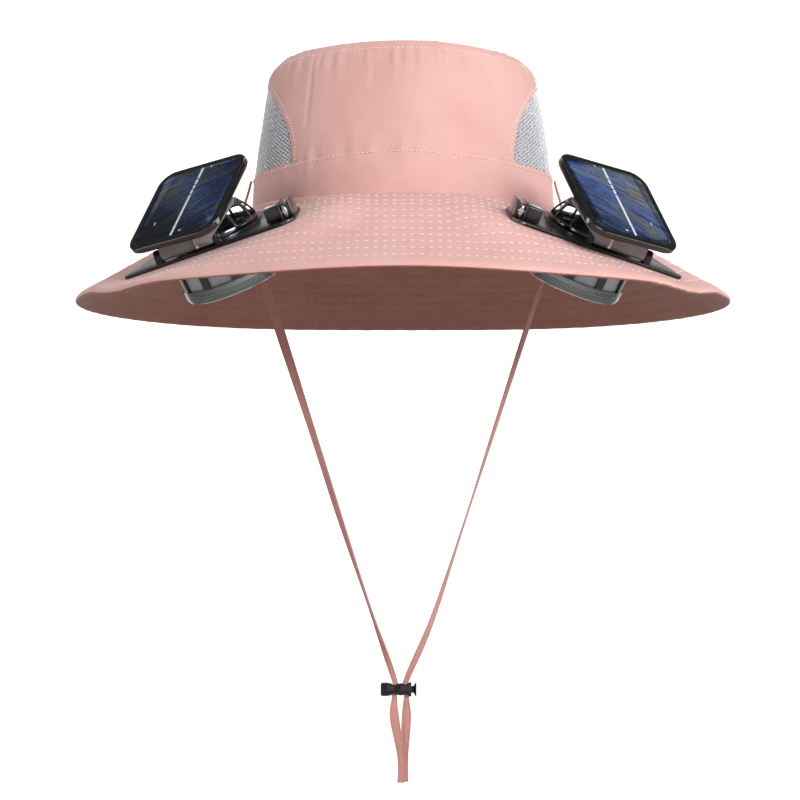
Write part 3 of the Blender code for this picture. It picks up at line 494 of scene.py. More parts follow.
def lathe(profile, steps, closed=True, start=(0, -1)):
    """Spins a profile of (radius, height) pairs once round the upright axis."""
    bm = bmesh.new()
    points = [bm.verts.new((start[0] * r, start[1] * r, z)) for r, z in profile]
    edges = [bm.edges.new(pair) for pair in zip(points, points[1:])]
    if closed:
        edges.append(bm.edges.new((points[-1], points[0])))
    bmesh.ops.spin(
        bm, geom=points + edges, cent=(0, 0, 0), axis=(0, 0, 1), angle=math.tau, steps=steps,
        use_merge=True,
    )
    face_out(bm)
    return bm


def lay_cloth(bm, flat):
    """Writes the cloth map, in metres; flat(azimuth, place) says where a point was cut."""
    layer = bm.loops.layers.uv.new("cloth")
    for face in bm.faces:
        turns = [azimuth_of(loop.vert.co) for loop in face.loops]
        if max(turns) - min(turns) > math.pi:
            turns = [t + math.tau if t < 0 else t for t in turns]
        for loop, turn in zip(face.loops, turns):
            loop[layer].uv = flat(turn, loop.vert.co)


def join(*parts):
    """One bmesh holding several closed ones."""
    whole = bmesh.new()
    for part in parts:
        mesh = bpy.data.meshes.new("part")
        part.to_mesh(mesh)
        part.free()
        whole.from_mesh(mesh)
        bpy.data.meshes.remove(mesh)
    return whole


def cut_away(piece, cutters):
    """Cuts closed shapes out of a piece for good."""
    bm = join(*cutters)
    face_out(bm)
    mesh = bpy.data.meshes.new("cutter")
    bm.to_mesh(mesh)
    bm.free()
    helper = show("cutter", mesh)
    step = piece.modifiers.new("cut", "BOOLEAN")
    step.operation, step.solver, step.object = "DIFFERENCE", "EXACT", helper
    cut = bpy.data.meshes.new_from_object(
        piece.evaluated_get(bpy.context.evaluated_depsgraph_get())
    )
    piece.modifiers.clear()
    piece.data = cut
    cut.set_sharp_from_angle(angle=math.radians(40))
    bpy.data.objects.remove(helper)
    bpy.data.meshes.remove(mesh)


def half_oval(grow, reach):
    """The window's half oval standing on the band, as a solid that runs along X."""
    bm = bmesh.new()
    bmesh.ops.create_circle(bm, cap_ends=True, segments=96, radius=1)
    bmesh.ops.bisect_plane(
        bm, geom=bm.verts[:] + bm.edges[:] + bm.faces[:], plane_co=(0, 0, 0),
        plane_no=(0, -1, 0), clear_outer=True,
    )
    low = [v for v in bm.verts if abs(v.co.y) < 1e-5]
    for v in bm.verts:
        v.co = (-reach, v.co.x * (WINDOW_HALF_WIDTH + grow), v.co.y * (WINDOW_HEIGHT + grow))
        if v in low:
            v.co.z -= 0.02 if grow >= 0 else 0.0
        v.co.z += BAND_HEIGHT_SIDE
    far = bmesh.ops.extrude_face_region(bm, geom=bm.faces[:])["geom"]
    bmesh.ops.translate(
        bm, vec=(2 * reach, 0, 0), verts=points_in(far)
    )
    face_out(bm)
    return bm


def seed_stitch(length, thick):
    """One stitch: a small round-ended grain of thread along X."""
    bm = bmesh.new()
    bmesh.ops.create_icosphere(
        bm, subdivisions=1, radius=0.5, matrix=Matrix.Diagonal((length, thick, thick * 0.8, 1))
    )
    return bm


def sew(name, spots, length=0.0015, thick=0.00065, look=white_thread):
    """Lays one stitch at each (place, run, outward) spot and joins them all."""
    seed = seed_stitch(length, thick)
    points = np.array([v.co[:] for v in seed.verts])
    faces = np.array([[v.index for v in f.verts] for f in seed.faces])
    seed.free()
    whole, loops = [], []
    for i, (place, run, outward) in enumerate(spots):
        side = outward.cross(run).normalized()
        run = (run + side * 0.10 * math.sin(i * 12.9898)).normalized()
        side = outward.cross(run).normalized()
        turn = np.array((run, side, run.cross(side)))
        stretch = np.array((1 + 0.10 * math.sin(i * 78.233), 1, 1))
        whole.append((points * stretch) @ turn + np.array(place))
        loops.append(faces + i * len(points))
    mesh = bpy.data.meshes.new(name)
    mesh.from_pydata(np.concatenate(whole), [], np.concatenate(loops).tolist())
    mesh.materials.append(look)
    mesh.shade_smooth()
    made = show(name, mesh)
    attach(made, "hat")
    return made


def seam_spots(points, outwards, period):
    """Evenly spaced stitch spots along a line of points."""
    spots = []
    carried = 0.0
    for a, b, outward in zip(points, points[1:], outwards):
        step = (b - a).length
        while carried < step:
            spots.append((a.lerp(b, carried / step), (b - a).normalized(), outward))
            carried += period
        carried -= step
    return spots


TUCK_DEPTH, TUCK_IN = 0.0030, 0.0012
outer_rows, inner_rows = 46, 12
profile = [(1.0, i / outer_rows) for i in range(outer_rows + 1)]
profile += [(0.9, 1 - i / inner_rows) for i in range(inner_rows + 1)]
wall = lathe(profile, ROUND_STEPS)
for v in wall.verts:
    turn, outside, share = azimuth_of(v.co), v.co.xy.length > 0.95, v.co.z
    low = band_top(turn) - TUCK_DEPTH
    height = low + (CROWN_HEIGHT - 0.0004 - low) * share
    radius = crown_radius(height) - (0 if outside else CLOTH) + crown_relief(turn, height)
    radius -= TUCK_IN * float(smooth_step((band_top(turn) - 0.0002 - height) / 0.0010))
    v.co = around(turn, radius, height + front_lift(turn, height))
lay_cloth(wall, lambda turn, co: (turn * CROWN_BASE_RADIUS, co.z))
crown_wall = add_piece("crown_side_wall", wall, rose_cotton)
cut_away(crown_wall, [half_oval(0.0, 0.12)])
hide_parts("crown_wall")

profile = [(1.0, i / 16) for i in range(17)] + [(0.9, 1 - i / 6) for i in range(7)]
band = lathe(profile, ROUND_STEPS)
for v in band.verts:
    turn, outside, share = azimuth_of(v.co), v.co.xy.length > 0.95, v.co.z
    height = -0.0006 + (band_top(turn) + 0.0006) * share
    fold = 0.0001 * math.exp(-(((1 - share) * 0.02 - 0.0022) / 0.0016) ** 2)
    soft = 0.0004 * math.exp(-height / 0.004) * ripple(turn, 0.009, 8.1)
    radius = crown_radius(height) - (0 if outside else CLOTH) + crown_relief(turn, height)
    v.co = around(turn, radius + fold + soft, height)
lay_cloth(band, lambda turn, co: (turn * CROWN_BASE_RADIUS, co.z))
crown_band = add_piece("crown_lower_band", band, rose_cotton)
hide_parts("crown_band")

edge = crown_radius(CROWN_HEIGHT) + 0.0006
upper = [
    (0, CROWN_HEIGHT + CROWN_TIP_RISE),
    (edge * 0.60, CROWN_HEIGHT + CROWN_TIP_RISE * 0.60),
    (edge * 0.90, CROWN_HEIGHT + CROWN_TIP_RISE * 0.15),
    (edge, CROWN_HEIGHT - 0.0006),
]
top_line = smooth_route(upper, 0.0016)
low_line = [(max(r - CLOTH * 0.4, 0), z - CLOTH * 0.9) for r, z in reversed(top_line)]
tip = lathe([*top_line, *low_line], ROUND_STEPS, closed=False)
for v in tip.verts:
    turn, out = azimuth_of(v.co), v.co.xy.length
    near = math.exp(-(edge - out) / 0.006)
    spot = Vector((v.co.x, v.co.y, 0.3))
    lift = 0.0003 * near * ripple(turn, 0.0042, 1.7) + 0.0011 * noise.noise(spot * 24)
    v.co.z += lift * min(1, out / 0.01 + 0.3)
    v.co.z += front_lift(turn, CROWN_HEIGHT) * float(smooth_step(out / edge))
    v.co.xy *= 1 + 0.0006 * near * ripple(turn, 0.0042, 1.7) / edge
bmesh.ops.remove_doubles(tip, verts=tip.verts, dist=1e-6)
face_out(tip)
lay_cloth(tip, lambda turn, co: (co.x, co.y))
crown_tip = add_piece("crown_round_tip", tip, rose_cotton)
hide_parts("crown_tip")


def crown_seam(height_at, period=0.0027, start=-math.pi, stop=math.pi, proud=0.00015):
    """Stitch spots on the crown's outer face; height_at(azimuth) gives the seam's height."""
    count = round((stop - start) * CROWN_BASE_RADIUS / 0.0015)
    points, outwards = [], []
    for i in range(count + 1):
        turn = start + (stop - start) * i / count
        height = height_at(turn)
        radius = crown_radius(height) + crown_relief(turn, height) + proud
        points.append(around(turn, radius, height + front_lift(turn, height)))
        slope = (crown_radius(height - 0.001) - crown_radius(height + 0.001)) / 0.002
        outwards.append((around(turn, 1, 0) + Vector((0, 0, slope))).normalized())
    return seam_spots(points, outwards, period)


crown_spots = crown_seam(lambda turn: CROWN_HEIGHT - 0.0052, proud=0.0001)
crown_spots += crown_seam(lambda turn: band_top(turn) - 0.0020, proud=0.0006)
for sign in (-1, 1):
    arch = []
    for i in range(181):
        a = math.pi * i / 180
        y = (WINDOW_HALF_WIDTH + 0.0022) * math.cos(a)
        height = BAND_HEIGHT_SIDE + (WINDOW_HEIGHT + 0.0022) * math.sin(a)
        radius = crown_radius(height)
        turn = sign * math.acos(max(-1, min(1, -y / radius)))
        if height > band_top(turn) + 0.001:
            proud = radius + crown_relief(turn, height) + 0.0001
            arch.append(around(turn, proud, height + front_lift(turn, height)))
    crown_spots += seam_spots(arch, [Vector((p.x, p.y, 0)).normalized() for p in arch], 0.0024)
sew("crown_stitching", crown_spots)


# The brim: two plies of the same cotton quilted over a stiff interlining with rounds of
# stitching, flat where each fan unit is clamped on it, and bound with a smooth rolled edge.
BRIM_RADIUS = 0.2000
BRIM_DROP, BRIM_BULGE, BRIM_THICK = 0.0555, 0.0010, 0.0032
BINDING_WIDTH = 0.0110
STITCH_RADII = (0.0970, 0.1050, 0.1110, 0.1200, 0.1295, 0.1390, 0.1490, 0.1585, 0.1680, 0.1775)
BINDING_STITCH_RADIUS = 0.1887
BRIM_PERIOD, BRIM_STITCH, BRIM_THREAD = 0.0053, 0.0030, 0.00075
STRAP_SLOT_RADIUS = 0.0972
STRAP_SLOT = (0.0032, 0.0085)
UNIT_AZIMUTH = math.radians(56.0)
UNIT_RADIUS, UNIT_HEIGHT = 0.1308, -0.0236
UNIT_FACES, UNIT_SLOPE, UNIT_TWIST = (math.radians(a) for a in (52.4, 27.3, 40.4))
FLAT_MARGIN, BLEND_MARGIN, CROWN_BLEND = 0.006, 0.046, 0.0060
FRONT_WAVE, BACK_WAVE = 0.0030, 0.0020
FAN_X, FAN_Y = -0.0030, 0.0005
PLATE_CIRCLES = (
    # along, across, radius of each round part of the clip plate's outline
    (-0.0510, -0.0315, 0.0045),
    (FAN_X, FAN_Y, 0.0340),
    (0.0470, -0.0315, 0.0080),
    (0.0460, -0.0120, 0.0080),
)
BASKET_RADIUS, FLANGE_WIDTH = 0.0320, 0.0040


def unit_place():
    """Places the left unit's frame on the brim: x along its plate, z off the brim."""
    out = Vector((-math.sin(UNIT_FACES), -math.cos(UNIT_FACES), 0))
    along_brim = Vector((math.cos(UNIT_FACES), -math.sin(UNIT_FACES), 0))
    up = Vector((0, 0, 1))
    off_brim = out * math.sin(UNIT_SLOPE) + up * math.cos(UNIT_SLOPE)
    up_slope = -out * math.cos(UNIT_SLOPE) + up * math.sin(UNIT_SLOPE)
    along = along_brim * math.cos(UNIT_TWIST) + up_slope * math.sin(UNIT_TWIST)
    turn = Matrix((along, off_brim.cross(along), off_brim)).transposed().to_4x4()
    return Matrix.Translation(around(-UNIT_AZIMUTH, UNIT_RADIUS, UNIT_HEIGHT)) @ turn


UNIT = unit_place()
SIDES = {"left": UNIT, "right": Matrix.Diagonal((-1, 1, 1, 1)) @ UNIT}


def circle(x, y, radius, count=72):
    return [
        (x + radius * math.cos(math.tau * i / count), y + radius * math.sin(math.tau * i / count))
        for i in range(count)
    ]


def plate_outline(arc=48):
    """The clip plate's outline: a line stretched round its circles."""
    points = [p for x, y, r in PLATE_CIRCLES for p in circle(x, y, r, arc)]
    return [points[i] for i in convex_hull_2d(points)]


def distance_to_plate(x, y):
    """How far points of the unit's frame lie outside the clip plate's outline."""
    outline = np.array(plate_outline(arc=20))
    nearest = np.full(x.shape, 1.0)
    inside = np.ones(x.shape, bool)
    for a, b in zip(outline, np.roll(outline, -1, axis=0)):
        side = b - a
        dx, dy = x - a[0], y - a[1]
        share = np.clip((dx * side[0] + dy * side[1]) / (side @ side), 0, 1)
        nearest = np.minimum(nearest, np.hypot(dx - share * side[0], dy - share * side[1]))
        inside &= side[0] * dy - side[1] * dx >= 0
    return np.where(inside, 0.0, nearest)


def on_unit(x, y):
    """The same points in the nearer unit's frame, on its seat, and the seat's height."""
    normal, place = UNIT.col[2], UNIT.translation
    left = -np.abs(x)
    flat = place.z - ((left - place.x) * normal.x + (y - place.y) * normal.y) / normal.z
    local = np.array(UNIT.inverted())[:3] @ np.array((left, y, flat, np.ones(x.shape)))
    return local[0], local[1], flat


def add_box(bm, middle, size):
    turn = Matrix.Translation(middle) @ Matrix.Diagonal((*size, 1))
    bmesh.ops.create_cube(bm, size=1, matrix=turn)


def brim_height(x, y):
    """The brim's upper face: a slightly rounded cone, flat where a fan unit sits on it."""
    radius = np.hypot(x, y)
    out = np.maximum(0, (radius - CROWN_BASE_RADIUS) / (BRIM_RADIUS - CROWN_BASE_RADIUS))
    cone = -BRIM_DROP * out + BRIM_BULGE * 4 * out * (1 - out)
    off_front = np.arctan2(x, -y)
    cone += FRONT_WAVE * out**2 * np.exp(-((off_front / 0.38) ** 2))
    cone += BACK_WAVE * out**2 * np.exp(-(((math.pi - np.abs(off_front)) / 0.5) ** 2))
    along, across, flat = on_unit(x, y)
    away = distance_to_plate(along, across)
    share = 1 - smooth_step((away - FLAT_MARGIN) / (BLEND_MARGIN - FLAT_MARGIN))
    share *= smooth_step((radius - CROWN_BASE_RADIUS) / CROWN_BLEND)
    return cone + (flat - cone) * share


def quilting(x, y):
    """The cloth sinks at each round of stitching, swells between, and puckers a little."""
    radius, turn = np.hypot(x, y), np.arctan2(x, -y)
    proud = np.full(x.shape, 0.00012)
    for i, row in enumerate(STITCH_RADII):
        near = np.exp(-(((radius - row) / 0.0013) ** 2))
        wave = np.sin(turn * row / 0.00135 * 0.5 + i) * 0.3 + np.sin(turn * row / 0.0041 + 2.1 * i)
        proud -= near * (0.00048 + 0.00010 * wave)
        beside = np.exp(-(((radius - row) / 0.0035) ** 2))
        proud += beside * 0.00010 * np.sin(turn * row / 0.006 + i * 1.7)
    seam = np.exp(-((x / 0.0010) ** 2)) - 0.5 * np.exp(-(((np.abs(x) - 0.003) / 0.0015) ** 2))
    proud -= np.where(y > 0, 0.0006 * seam, 0)
    along, across, _ = on_unit(x, y)
    away = distance_to_plate(along, across)
    clamped = 1 - smooth_step(away / 0.006)
    return proud * (1 - clamped)


def shade_faces_below(piece):
    """Gives the faces that look down the second material, the darker copy of the cloth that paints
    the shade under the brim.
    """
    for polygon in piece.data.polygons:
        polygon.material_index = 1 if polygon.normal.z < -0.3 else 0


def set_heights(bm, height):
    """Moves every vertex to the height given by numpy functions of its place."""
    verts = bm.verts[:]
    co = np.array([v.co[:] for v in verts])
    for v, z in zip(verts, height(co)):
        v.co.z = z


inner = CROWN_BASE_RADIUS - CLOTH
outer = BRIM_RADIUS - BINDING_WIDTH
across_count = 84
radii = [inner + (outer - inner) * i / across_count for i in range(across_count + 1)]
brim = lathe([(r, 0) for r in radii] + [(r, -1) for r in reversed(radii)], ROUND_STEPS)
set_heights(
    brim,
    lambda co: brim_height(co[:, 0], co[:, 1])
    + np.where(co[:, 2] < -0.5, -BRIM_THICK, 0)
    + np.where(co[:, 2] < -0.5, -1, 1) * quilting(co[:, 0], co[:, 1])
    * np.where(np.hypot(co[:, 0], co[:, 1]) < CROWN_BASE_RADIUS + 0.001, 0, 1),
)
face_out(brim)
lay_cloth(brim, lambda turn, co: (co.x, co.y))
quilted_brim = add_piece("quilted_brim", brim, [rose_cotton, shaded_rose_cotton])
cutters = []
for side, place in SIDES.items():
    hole = bmesh.new()
    bmesh.ops.create_cone(
        hole, cap_ends=True, segments=72, radius1=BASKET_RADIUS + 2 * GAP,
        radius2=BASKET_RADIUS + 2 * GAP, depth=0.04,
        matrix=place @ Matrix.Translation((FAN_X, FAN_Y, 0)),
    )
    slot = bmesh.new()
    middle = STRAP_SLOT_RADIUS * (-1 if side == "left" else 1)
    add_box(slot, (middle, 0, 0), (*STRAP_SLOT, 0.04))
    cutters += [hole, slot]
cut_away(quilted_brim, cutters)
# The faces that look down take the darker copy of the cloth: painted shade under the brim.
shade_faces_below(quilted_brim)
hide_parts("brim")

start = outer - 2 * GAP
BINDING_SHAPE = (
    # share of the band's width, share of the thickness below the upper face
    (0.00, 0.25),
    (0.03, -0.04),
    (0.25, 0.00),
    (0.60, 0.00),
    (0.86, 0.02),
    (0.97, 0.20),
    (1.00, 0.50),
    (0.97, 0.80),
    (0.86, 0.98),
    (0.40, 1.00),
    (0.03, 1.04),
    (0.00, 0.75),
)
bound = lathe(
    [(start + (BRIM_RADIUS - start) * a, -down) for a, down in smooth_route(BINDING_SHAPE, 0.09)],
    ROUND_STEPS,
)


def binding_height(co):
    x, y, code = co.T
    radius, turn = np.hypot(x, y), np.arctan2(x, -y)
    share = (radius - start) / (BRIM_RADIUS - start)
    face = brim_height(x, y)
    middle = face - BRIM_THICK / 2
    down = np.clip(-code, -0.04, 1.04)
    sewn = np.exp(-(((share - 0.10) / 0.08) ** 2))
    puff = 0.00055 * np.sqrt(np.maximum(0, 1 - (2 * share - 1.0) ** 2)) - 0.00035 * sewn
    puff += 0.00016 * np.sin(turn * 31) * np.sin(share * 3.1) + 0.00010 * np.sin(turn * 83 + 1)
    return middle + (0.5 - down) * (BRIM_THICK + 2 * puff)


set_heights(bound, binding_height)
face_out(bound)
lay_cloth(bound, lambda turn, co: (turn * BRIM_RADIUS, co.xy.length))
brim_edge = add_piece("rolled_brim_edge", bound, [rose_cotton, shaded_rose_cotton])
# The bound edge's downward faces take the darker copy too: painted shade under the brim.
shade_faces_below(brim_edge)
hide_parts("brim_binding")


def brim_round(radius, period, above, lift):
    """Stitch spots round the brim, on its upper or lower face, clear of the fan units."""
    count = round(math.tau * radius / period)
    turns = np.arange(count) * math.tau / count
    x, y = radius * np.sin(turns), -radius * np.cos(turns)
    sign = 1 if above else -1
    z = brim_height(x, y) + (0 if above else -BRIM_THICK) + sign * (quilting(x, y) + lift)
    along, across, _ = on_unit(x, y)
    if above:
        free = distance_to_plate(along, across) > 0.0015
    else:
        free = np.hypot(along - FAN_X, across - FAN_Y) > BASKET_RADIUS + FLANGE_WIDTH + 0.0015
    slot = (np.abs(np.abs(x) - STRAP_SLOT_RADIUS) < 0.0035) & (np.abs(y) < 0.007)
    points = [Vector(p) for p in zip(x, y, z)]
    slope = BRIM_DROP / (BRIM_RADIUS - CROWN_BASE_RADIUS)
    spots = []
    for i, turn in enumerate(turns):
        if free[i] and not slot[i]:
            run = (points[(i + 1) % count] - points[i - 1]).normalized()
            up = (around(turn, slope, 1) * sign).normalized()
            spots.append((points[i], run, up))
    return spots


# The stitches below take the darker thread, which paints the shade under the brim.
for name, above, look in (
    ("brim_stitching_above", True, white_thread),
    ("brim_stitching_below", False, shaded_thread),
):
    spots = [s for r in STITCH_RADII for s in brim_round(r, BRIM_PERIOD, above, 0.0001)]
    spots += brim_round(BINDING_STITCH_RADIUS, BRIM_PERIOD, above, 0.0)
    sew(name, spots, BRIM_STITCH, BRIM_THREAD, look)


# The mesh windows: silver-white polyester knitted in an open diamond net, so air reaches the
# head; each is caught behind the cut edge of the crown's wall.
NET_CELL, NET_CELLS = (0.0046, 0.0029), 80
NET_THREAD = 0.00115  # thicker than the real yarn, on cells coarser than the real knit
NET_SLANT = 0.45
NET_SET_IN = 0.0008

net_yarn, tree, end = start_material("knitted silver polyester yarn")
body = add_node(tree, "ShaderNodeTexCoord").outputs["Object"]
twist = add_node(
    tree, "ShaderNodeTexWave", {"Vector": body, "Scale": 420.0, "Distortion": 1.5},
    bands_direction="DIAGONAL",
).outputs["Fac"]
shade(tree, end, {
    "Base Color": colour_ramp(tree, blotches(tree, 1600.0), (0.3, "e2e2e8"), (0.7, "ffffff")),
    "Roughness": 0.42,
    "IOR": 1.53,
    "Sheen Weight": 0.3,
    "Normal": bump(tree, twist, 0.4, 0.0002),
})

# Behind the open net a fine close back of grey yarn, as a two-layer mesh has; its tone stands in
# for the shaded inside of the crown seen through the gaps, so it is partly painted shade.
shade_back_knit, tree, end = start_material("grey back knit, painted shade behind the net")
body = add_node(tree, "ShaderNodeTexCoord").outputs["Object"]
loops_made = add_node(
    tree, "ShaderNodeTexVoronoi", {"Vector": body, "Scale": 900.0}
).outputs["Distance"]
shade(tree, end, {
    "Base Color": colour_ramp(tree, loops_made, (0.2, "eef0f4"), (0.6, "bfc2c8")),
    "Roughness": 0.7,
    "IOR": 1.53,
    "Normal": bump(tree, loops_made, 0.4, 0.0003),
})

for side, sign in (("left", -1), ("right", 1)):
    net = bmesh.new()
    bmesh.ops.create_grid(net, x_segments=NET_CELLS, y_segments=NET_CELLS, size=NET_CELLS / 2)
    diamond = Matrix.Rotation(math.pi / 4, 3, "Z")
    bmesh.ops.rotate(net, verts=net.verts, cent=(0, 0, 0), matrix=diamond)
    bmesh.ops.scale(net, vec=(NET_CELL[0] / 1.414, NET_CELL[1] / 1.414, 1), verts=net.verts)
    for v in net.verts:
        v.co.x += NET_SLANT * v.co.y
    bmesh.ops.translate(net, vec=(0, BAND_HEIGHT_SIDE + WINDOW_HEIGHT / 2, 0), verts=net.verts)
    outside = []
    for v in net.verts:
        s, height = v.co.x, v.co.y
        y = crown_radius(max(height, 0)) * math.sin(s / CROWN_BASE_RADIUS)
        oval = math.hypot(
            y / (WINDOW_HALF_WIDTH + 0.0010), (height - BAND_HEIGHT_SIDE) / (WINDOW_HEIGHT + 0.0010)
        )
        low = band_top(math.pi / 2 + s / CROWN_BASE_RADIUS)
        if oval > 1 or height < low - 0.0012 or abs(s) > math.pi / 2 * CROWN_BASE_RADIUS:
            outside.append(v)
    bmesh.ops.delete(net, geom=outside, context="VERTS")
    for v in net.verts:
        turn, height = sign * (math.pi / 2 + v.co.x / CROWN_BASE_RADIUS), v.co.y
        weave = 0.00018 * math.sin(v.co.x / NET_CELL[0] * math.tau)
        radius = crown_radius(height) - NET_SET_IN + crown_relief(turn, height) + weave
        v.co = around(turn, radius, height + front_lift(turn, height))
    face_out(net)
    bmesh.ops.wireframe(
        net, faces=net.faces[:], thickness=NET_THREAD, offset=0.0, use_replace=True,
        use_boundary=True, use_even_offset=False,
    )
    window = add_piece(f"knitted_window_{side}", net, net_yarn, smooth=80)
    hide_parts(f"mesh_window_{side}")

    # A grey sheet just inside each window, standing in for the shaded inside seen through the net:
    # partly painted shade.
    backing = bmesh.new()
    bmesh.ops.create_grid(backing, x_segments=72, y_segments=40, size=0.5)
    span = math.asin(min(1, (WINDOW_HALF_WIDTH + 0.003) / crown_radius(BAND_HEIGHT_SIDE)))
    for v in backing.verts:
        off = 2 * v.co.x * span
        share = math.sqrt(max(0, 1 - (2 * v.co.x) ** 2))
        height = BAND_HEIGHT_SIDE - 0.002 + (v.co.y + 0.5) * (WINDOW_HEIGHT + 0.004) * share
        turn = sign * (math.pi / 2 + off)
        height = max(height, band_top(turn) - 0.003)
        radius = crown_radius(height) - CLOTH - 0.0004 + crown_relief(turn, height)
        v.co = around(turn, radius, height + front_lift(turn, height))
    bmesh.ops.remove_doubles(backing, verts=backing.verts, dist=0.00005)
    face_out(backing)
    bmesh.ops.solidify(backing, geom=backing.faces[:], thickness=0.0003)
    face_out(backing)
    inside = add_piece(f"window_shade_back_{side}", backing, shade_back_knit)

# The fan unit's plastics: injection-moulded ABS. The clip and knuckle have a fine spark texture;
# the latch block, guard, basket and panel frame are polished, and both show faint handling marks,
# with edges lightened partly as painted highlight.


def moulded_abs(name, colour, worn_and_lit, roughness, grain_mm, relief, coat=0.0):
    """Moulded ABS: an even colour with faint rubbed patches, edges lightened partly as wear and
    partly as painted highlight, and a fine or polished surface.
    """
    made, tree, end = start_material(name)
    rubbed = blotches(tree, 55.0, 5.0, 0.65)
    # Convex edges lighten towards the worn colour: edge wear, and partly a painted highlight along
    # them.
    edge = add_node(tree, "ShaderNodeNewGeometry").outputs["Pointiness"]
    edge = map_range(tree, edge, (0.53, 0.62), (0.0, 1.0))
    rubbed_and_lit = map_range(tree, rubbed, (0.52, 0.75), (0.0, 1.0))
    rubbed_and_lit = calculate(tree, "MULTIPLY_ADD", edge, 0.6, rubbed_and_lit, use_clamp=True)
    shade(tree, end, {
        "Base Color": colour_ramp(tree, rubbed_and_lit, (0.0, colour), (1.0, worn_and_lit)),
        "Roughness": map_range(tree, rubbed, (0.3, 0.8), (roughness * 0.8, roughness * 1.35)),
        "IOR": 1.54,
        "Coat Weight": coat,
        "Coat Roughness": 0.04,
        "Normal": bump(tree, blotches(tree, 1000 / grain_mm), 0.35, relief),
    })
    return made


satin_abs = moulded_abs("satin moulded ABS", "101112", "2a2c2e", 0.32, 0.7, 0.00012)
gloss_abs = moulded_abs("polished moulded ABS", "0b0b0c", "1d1e20", 0.12, 1.6, 0.00002, 0.6)
grey_abs = moulded_abs("grey satin moulded ABS", "85888b", "a3a6a9", 0.40, 0.8, 0.0001)

# Black chrome: a dark mirror-bright plating on ABS, with faint ripples that break reflections.
black_chrome, tree, end = start_material("black chrome plating on ABS")
waves = blotches(tree, 120.0)
shade(tree, end, {
    "Base Color": colour_ramp(tree, waves, (0.3, "2e3033"), (0.7, "85888d")),
    "Metallic": 0.9,
    "Roughness": 0.14,
    "Normal": bump(tree, waves, 0.25, 0.0006),
})

PLATE_THICK, PLATE_HOLE = 0.0018, 0.0258
KNUCKLE_Y, KNUCKLE_RADIUS = -0.0326, 0.0038
KNUCKLE_X, NECK_X = (-0.0290, -0.0065), (-0.0085, 0.0040)
EAR_THICK = 0.0040


def put_on(bm, side):
    """Moves a piece from the unit's frame to its side of the hat, facing outwards."""
    bmesh.ops.transform(bm, matrix=SIDES[side], verts=bm.verts)
    if SIDES[side].determinant() < 0:
        bmesh.ops.reverse_faces(bm, faces=bm.faces)
    return bm


def paint(piece, side, chosen):
    """Gives the second material to faces; chosen(face, place, facing) is in the unit's frame."""
    back = SIDES[side].inverted()
    for face in piece.data.polygons:
        if chosen(face, back @ face.center, back.to_3x3() @ face.normal):
            face.material_index = 1


def ring_of(bm, points, height):
    """A closed line of edges through flat points."""
    verts = [bm.verts.new((x, y, height)) for x, y in points]
    return [bm.edges.new((a, b)) for a, b in zip(verts, verts[1:] + verts[:1])]


def raise_faces(bm, faces, by):
    """Extrudes faces along a vector and returns the new far ones."""
    grown = bmesh.ops.extrude_face_region(bm, geom=faces)["geom"]
    bmesh.ops.translate(bm, vec=by, verts=points_in(grown))
    return [g for g in grown if isinstance(g, bmesh.types.BMFace)]


def round_over(bm, offset, segments=3, above=50):
    """Bevels every edge that turns by more than an angle."""
    face_out(bm)
    sharp = [
        e for e in bm.edges
        if len(e.link_faces) == 2 and e.calc_face_angle(0) > math.radians(above)
    ]
    bmesh.ops.bevel(
        bm, geom=sharp, offset=offset, segments=segments, affect="EDGES", profile=0.5,
        material=-1, clamp_overlap=True,
    )
    return bm


def along_plate(profile, start, end):
    """A profile of (across, height) pairs, extruded along the plate."""
    bm = bmesh.new()
    face = bm.faces.new([bm.verts.new((start, y, z)) for y, z in profile])
    raise_faces(bm, [face], (end - start, 0, 0))
    face_out(bm)
    return bm


for side in SIDES:
    low, high = GAP, GAP + PLATE_THICK
    plate = bmesh.new()
    rim = ring_of(plate, plate_outline(), low)
    mouth = ring_of(plate, circle(FAN_X, FAN_Y, PLATE_HOLE), low)
    bmesh.ops.bridge_loops(plate, edges=rim + mouth)
    raise_faces(plate, plate.faces[:], (0, 0, PLATE_THICK))
    round_over(plate, 0.0005)
    lip = bmesh.new()
    outer_ring = ring_of(lip, circle(FAN_X, FAN_Y, 0.0300), high - 0.0003)
    inner_ring = ring_of(lip, circle(FAN_X, FAN_Y, PLATE_HOLE + 0.0002), high - 0.0003)
    bmesh.ops.bridge_loops(lip, edges=outer_ring + inner_ring)
    raise_faces(lip, lip.faces[:], (0, 0, 0.0008))
    round_over(lip, 0.0003)
    axis = high + 2 * GAP + KNUCKLE_RADIUS
    parts = [plate, lip]
    for start, end in (
        (KNUCKLE_X[0] - GAP - EAR_THICK, KNUCKLE_X[0] - GAP),
        (NECK_X[1] + GAP, NECK_X[1] + GAP + EAR_THICK * 0.7),
    ):
        half = KNUCKLE_RADIUS
        profile = [(KNUCKLE_Y - half, high - 0.0008), (KNUCKLE_Y + half, high - 0.0008)]
        profile += circle(KNUCKLE_Y, axis, half, 24)[:13]
        ear = along_plate(profile, start, end)
        parts.append(round_over(ear, 0.0005))
    whole = put_on(join(*parts), side)
    clip = add_piece(f"clip_{side}", whole, [satin_abs, black_chrome], smooth=30)
    # The plate's front edge faces at its inner end take the mirror chrome as a bright bead: a
    # painted highlight.
    paint(
        clip, side,
        lambda face, place, facing: place.x > 0.006 and place.z < PLATE_THICK + 2 * GAP
        and facing.y < -0.25,
    )
    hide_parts(f"clip_plate_{side}")

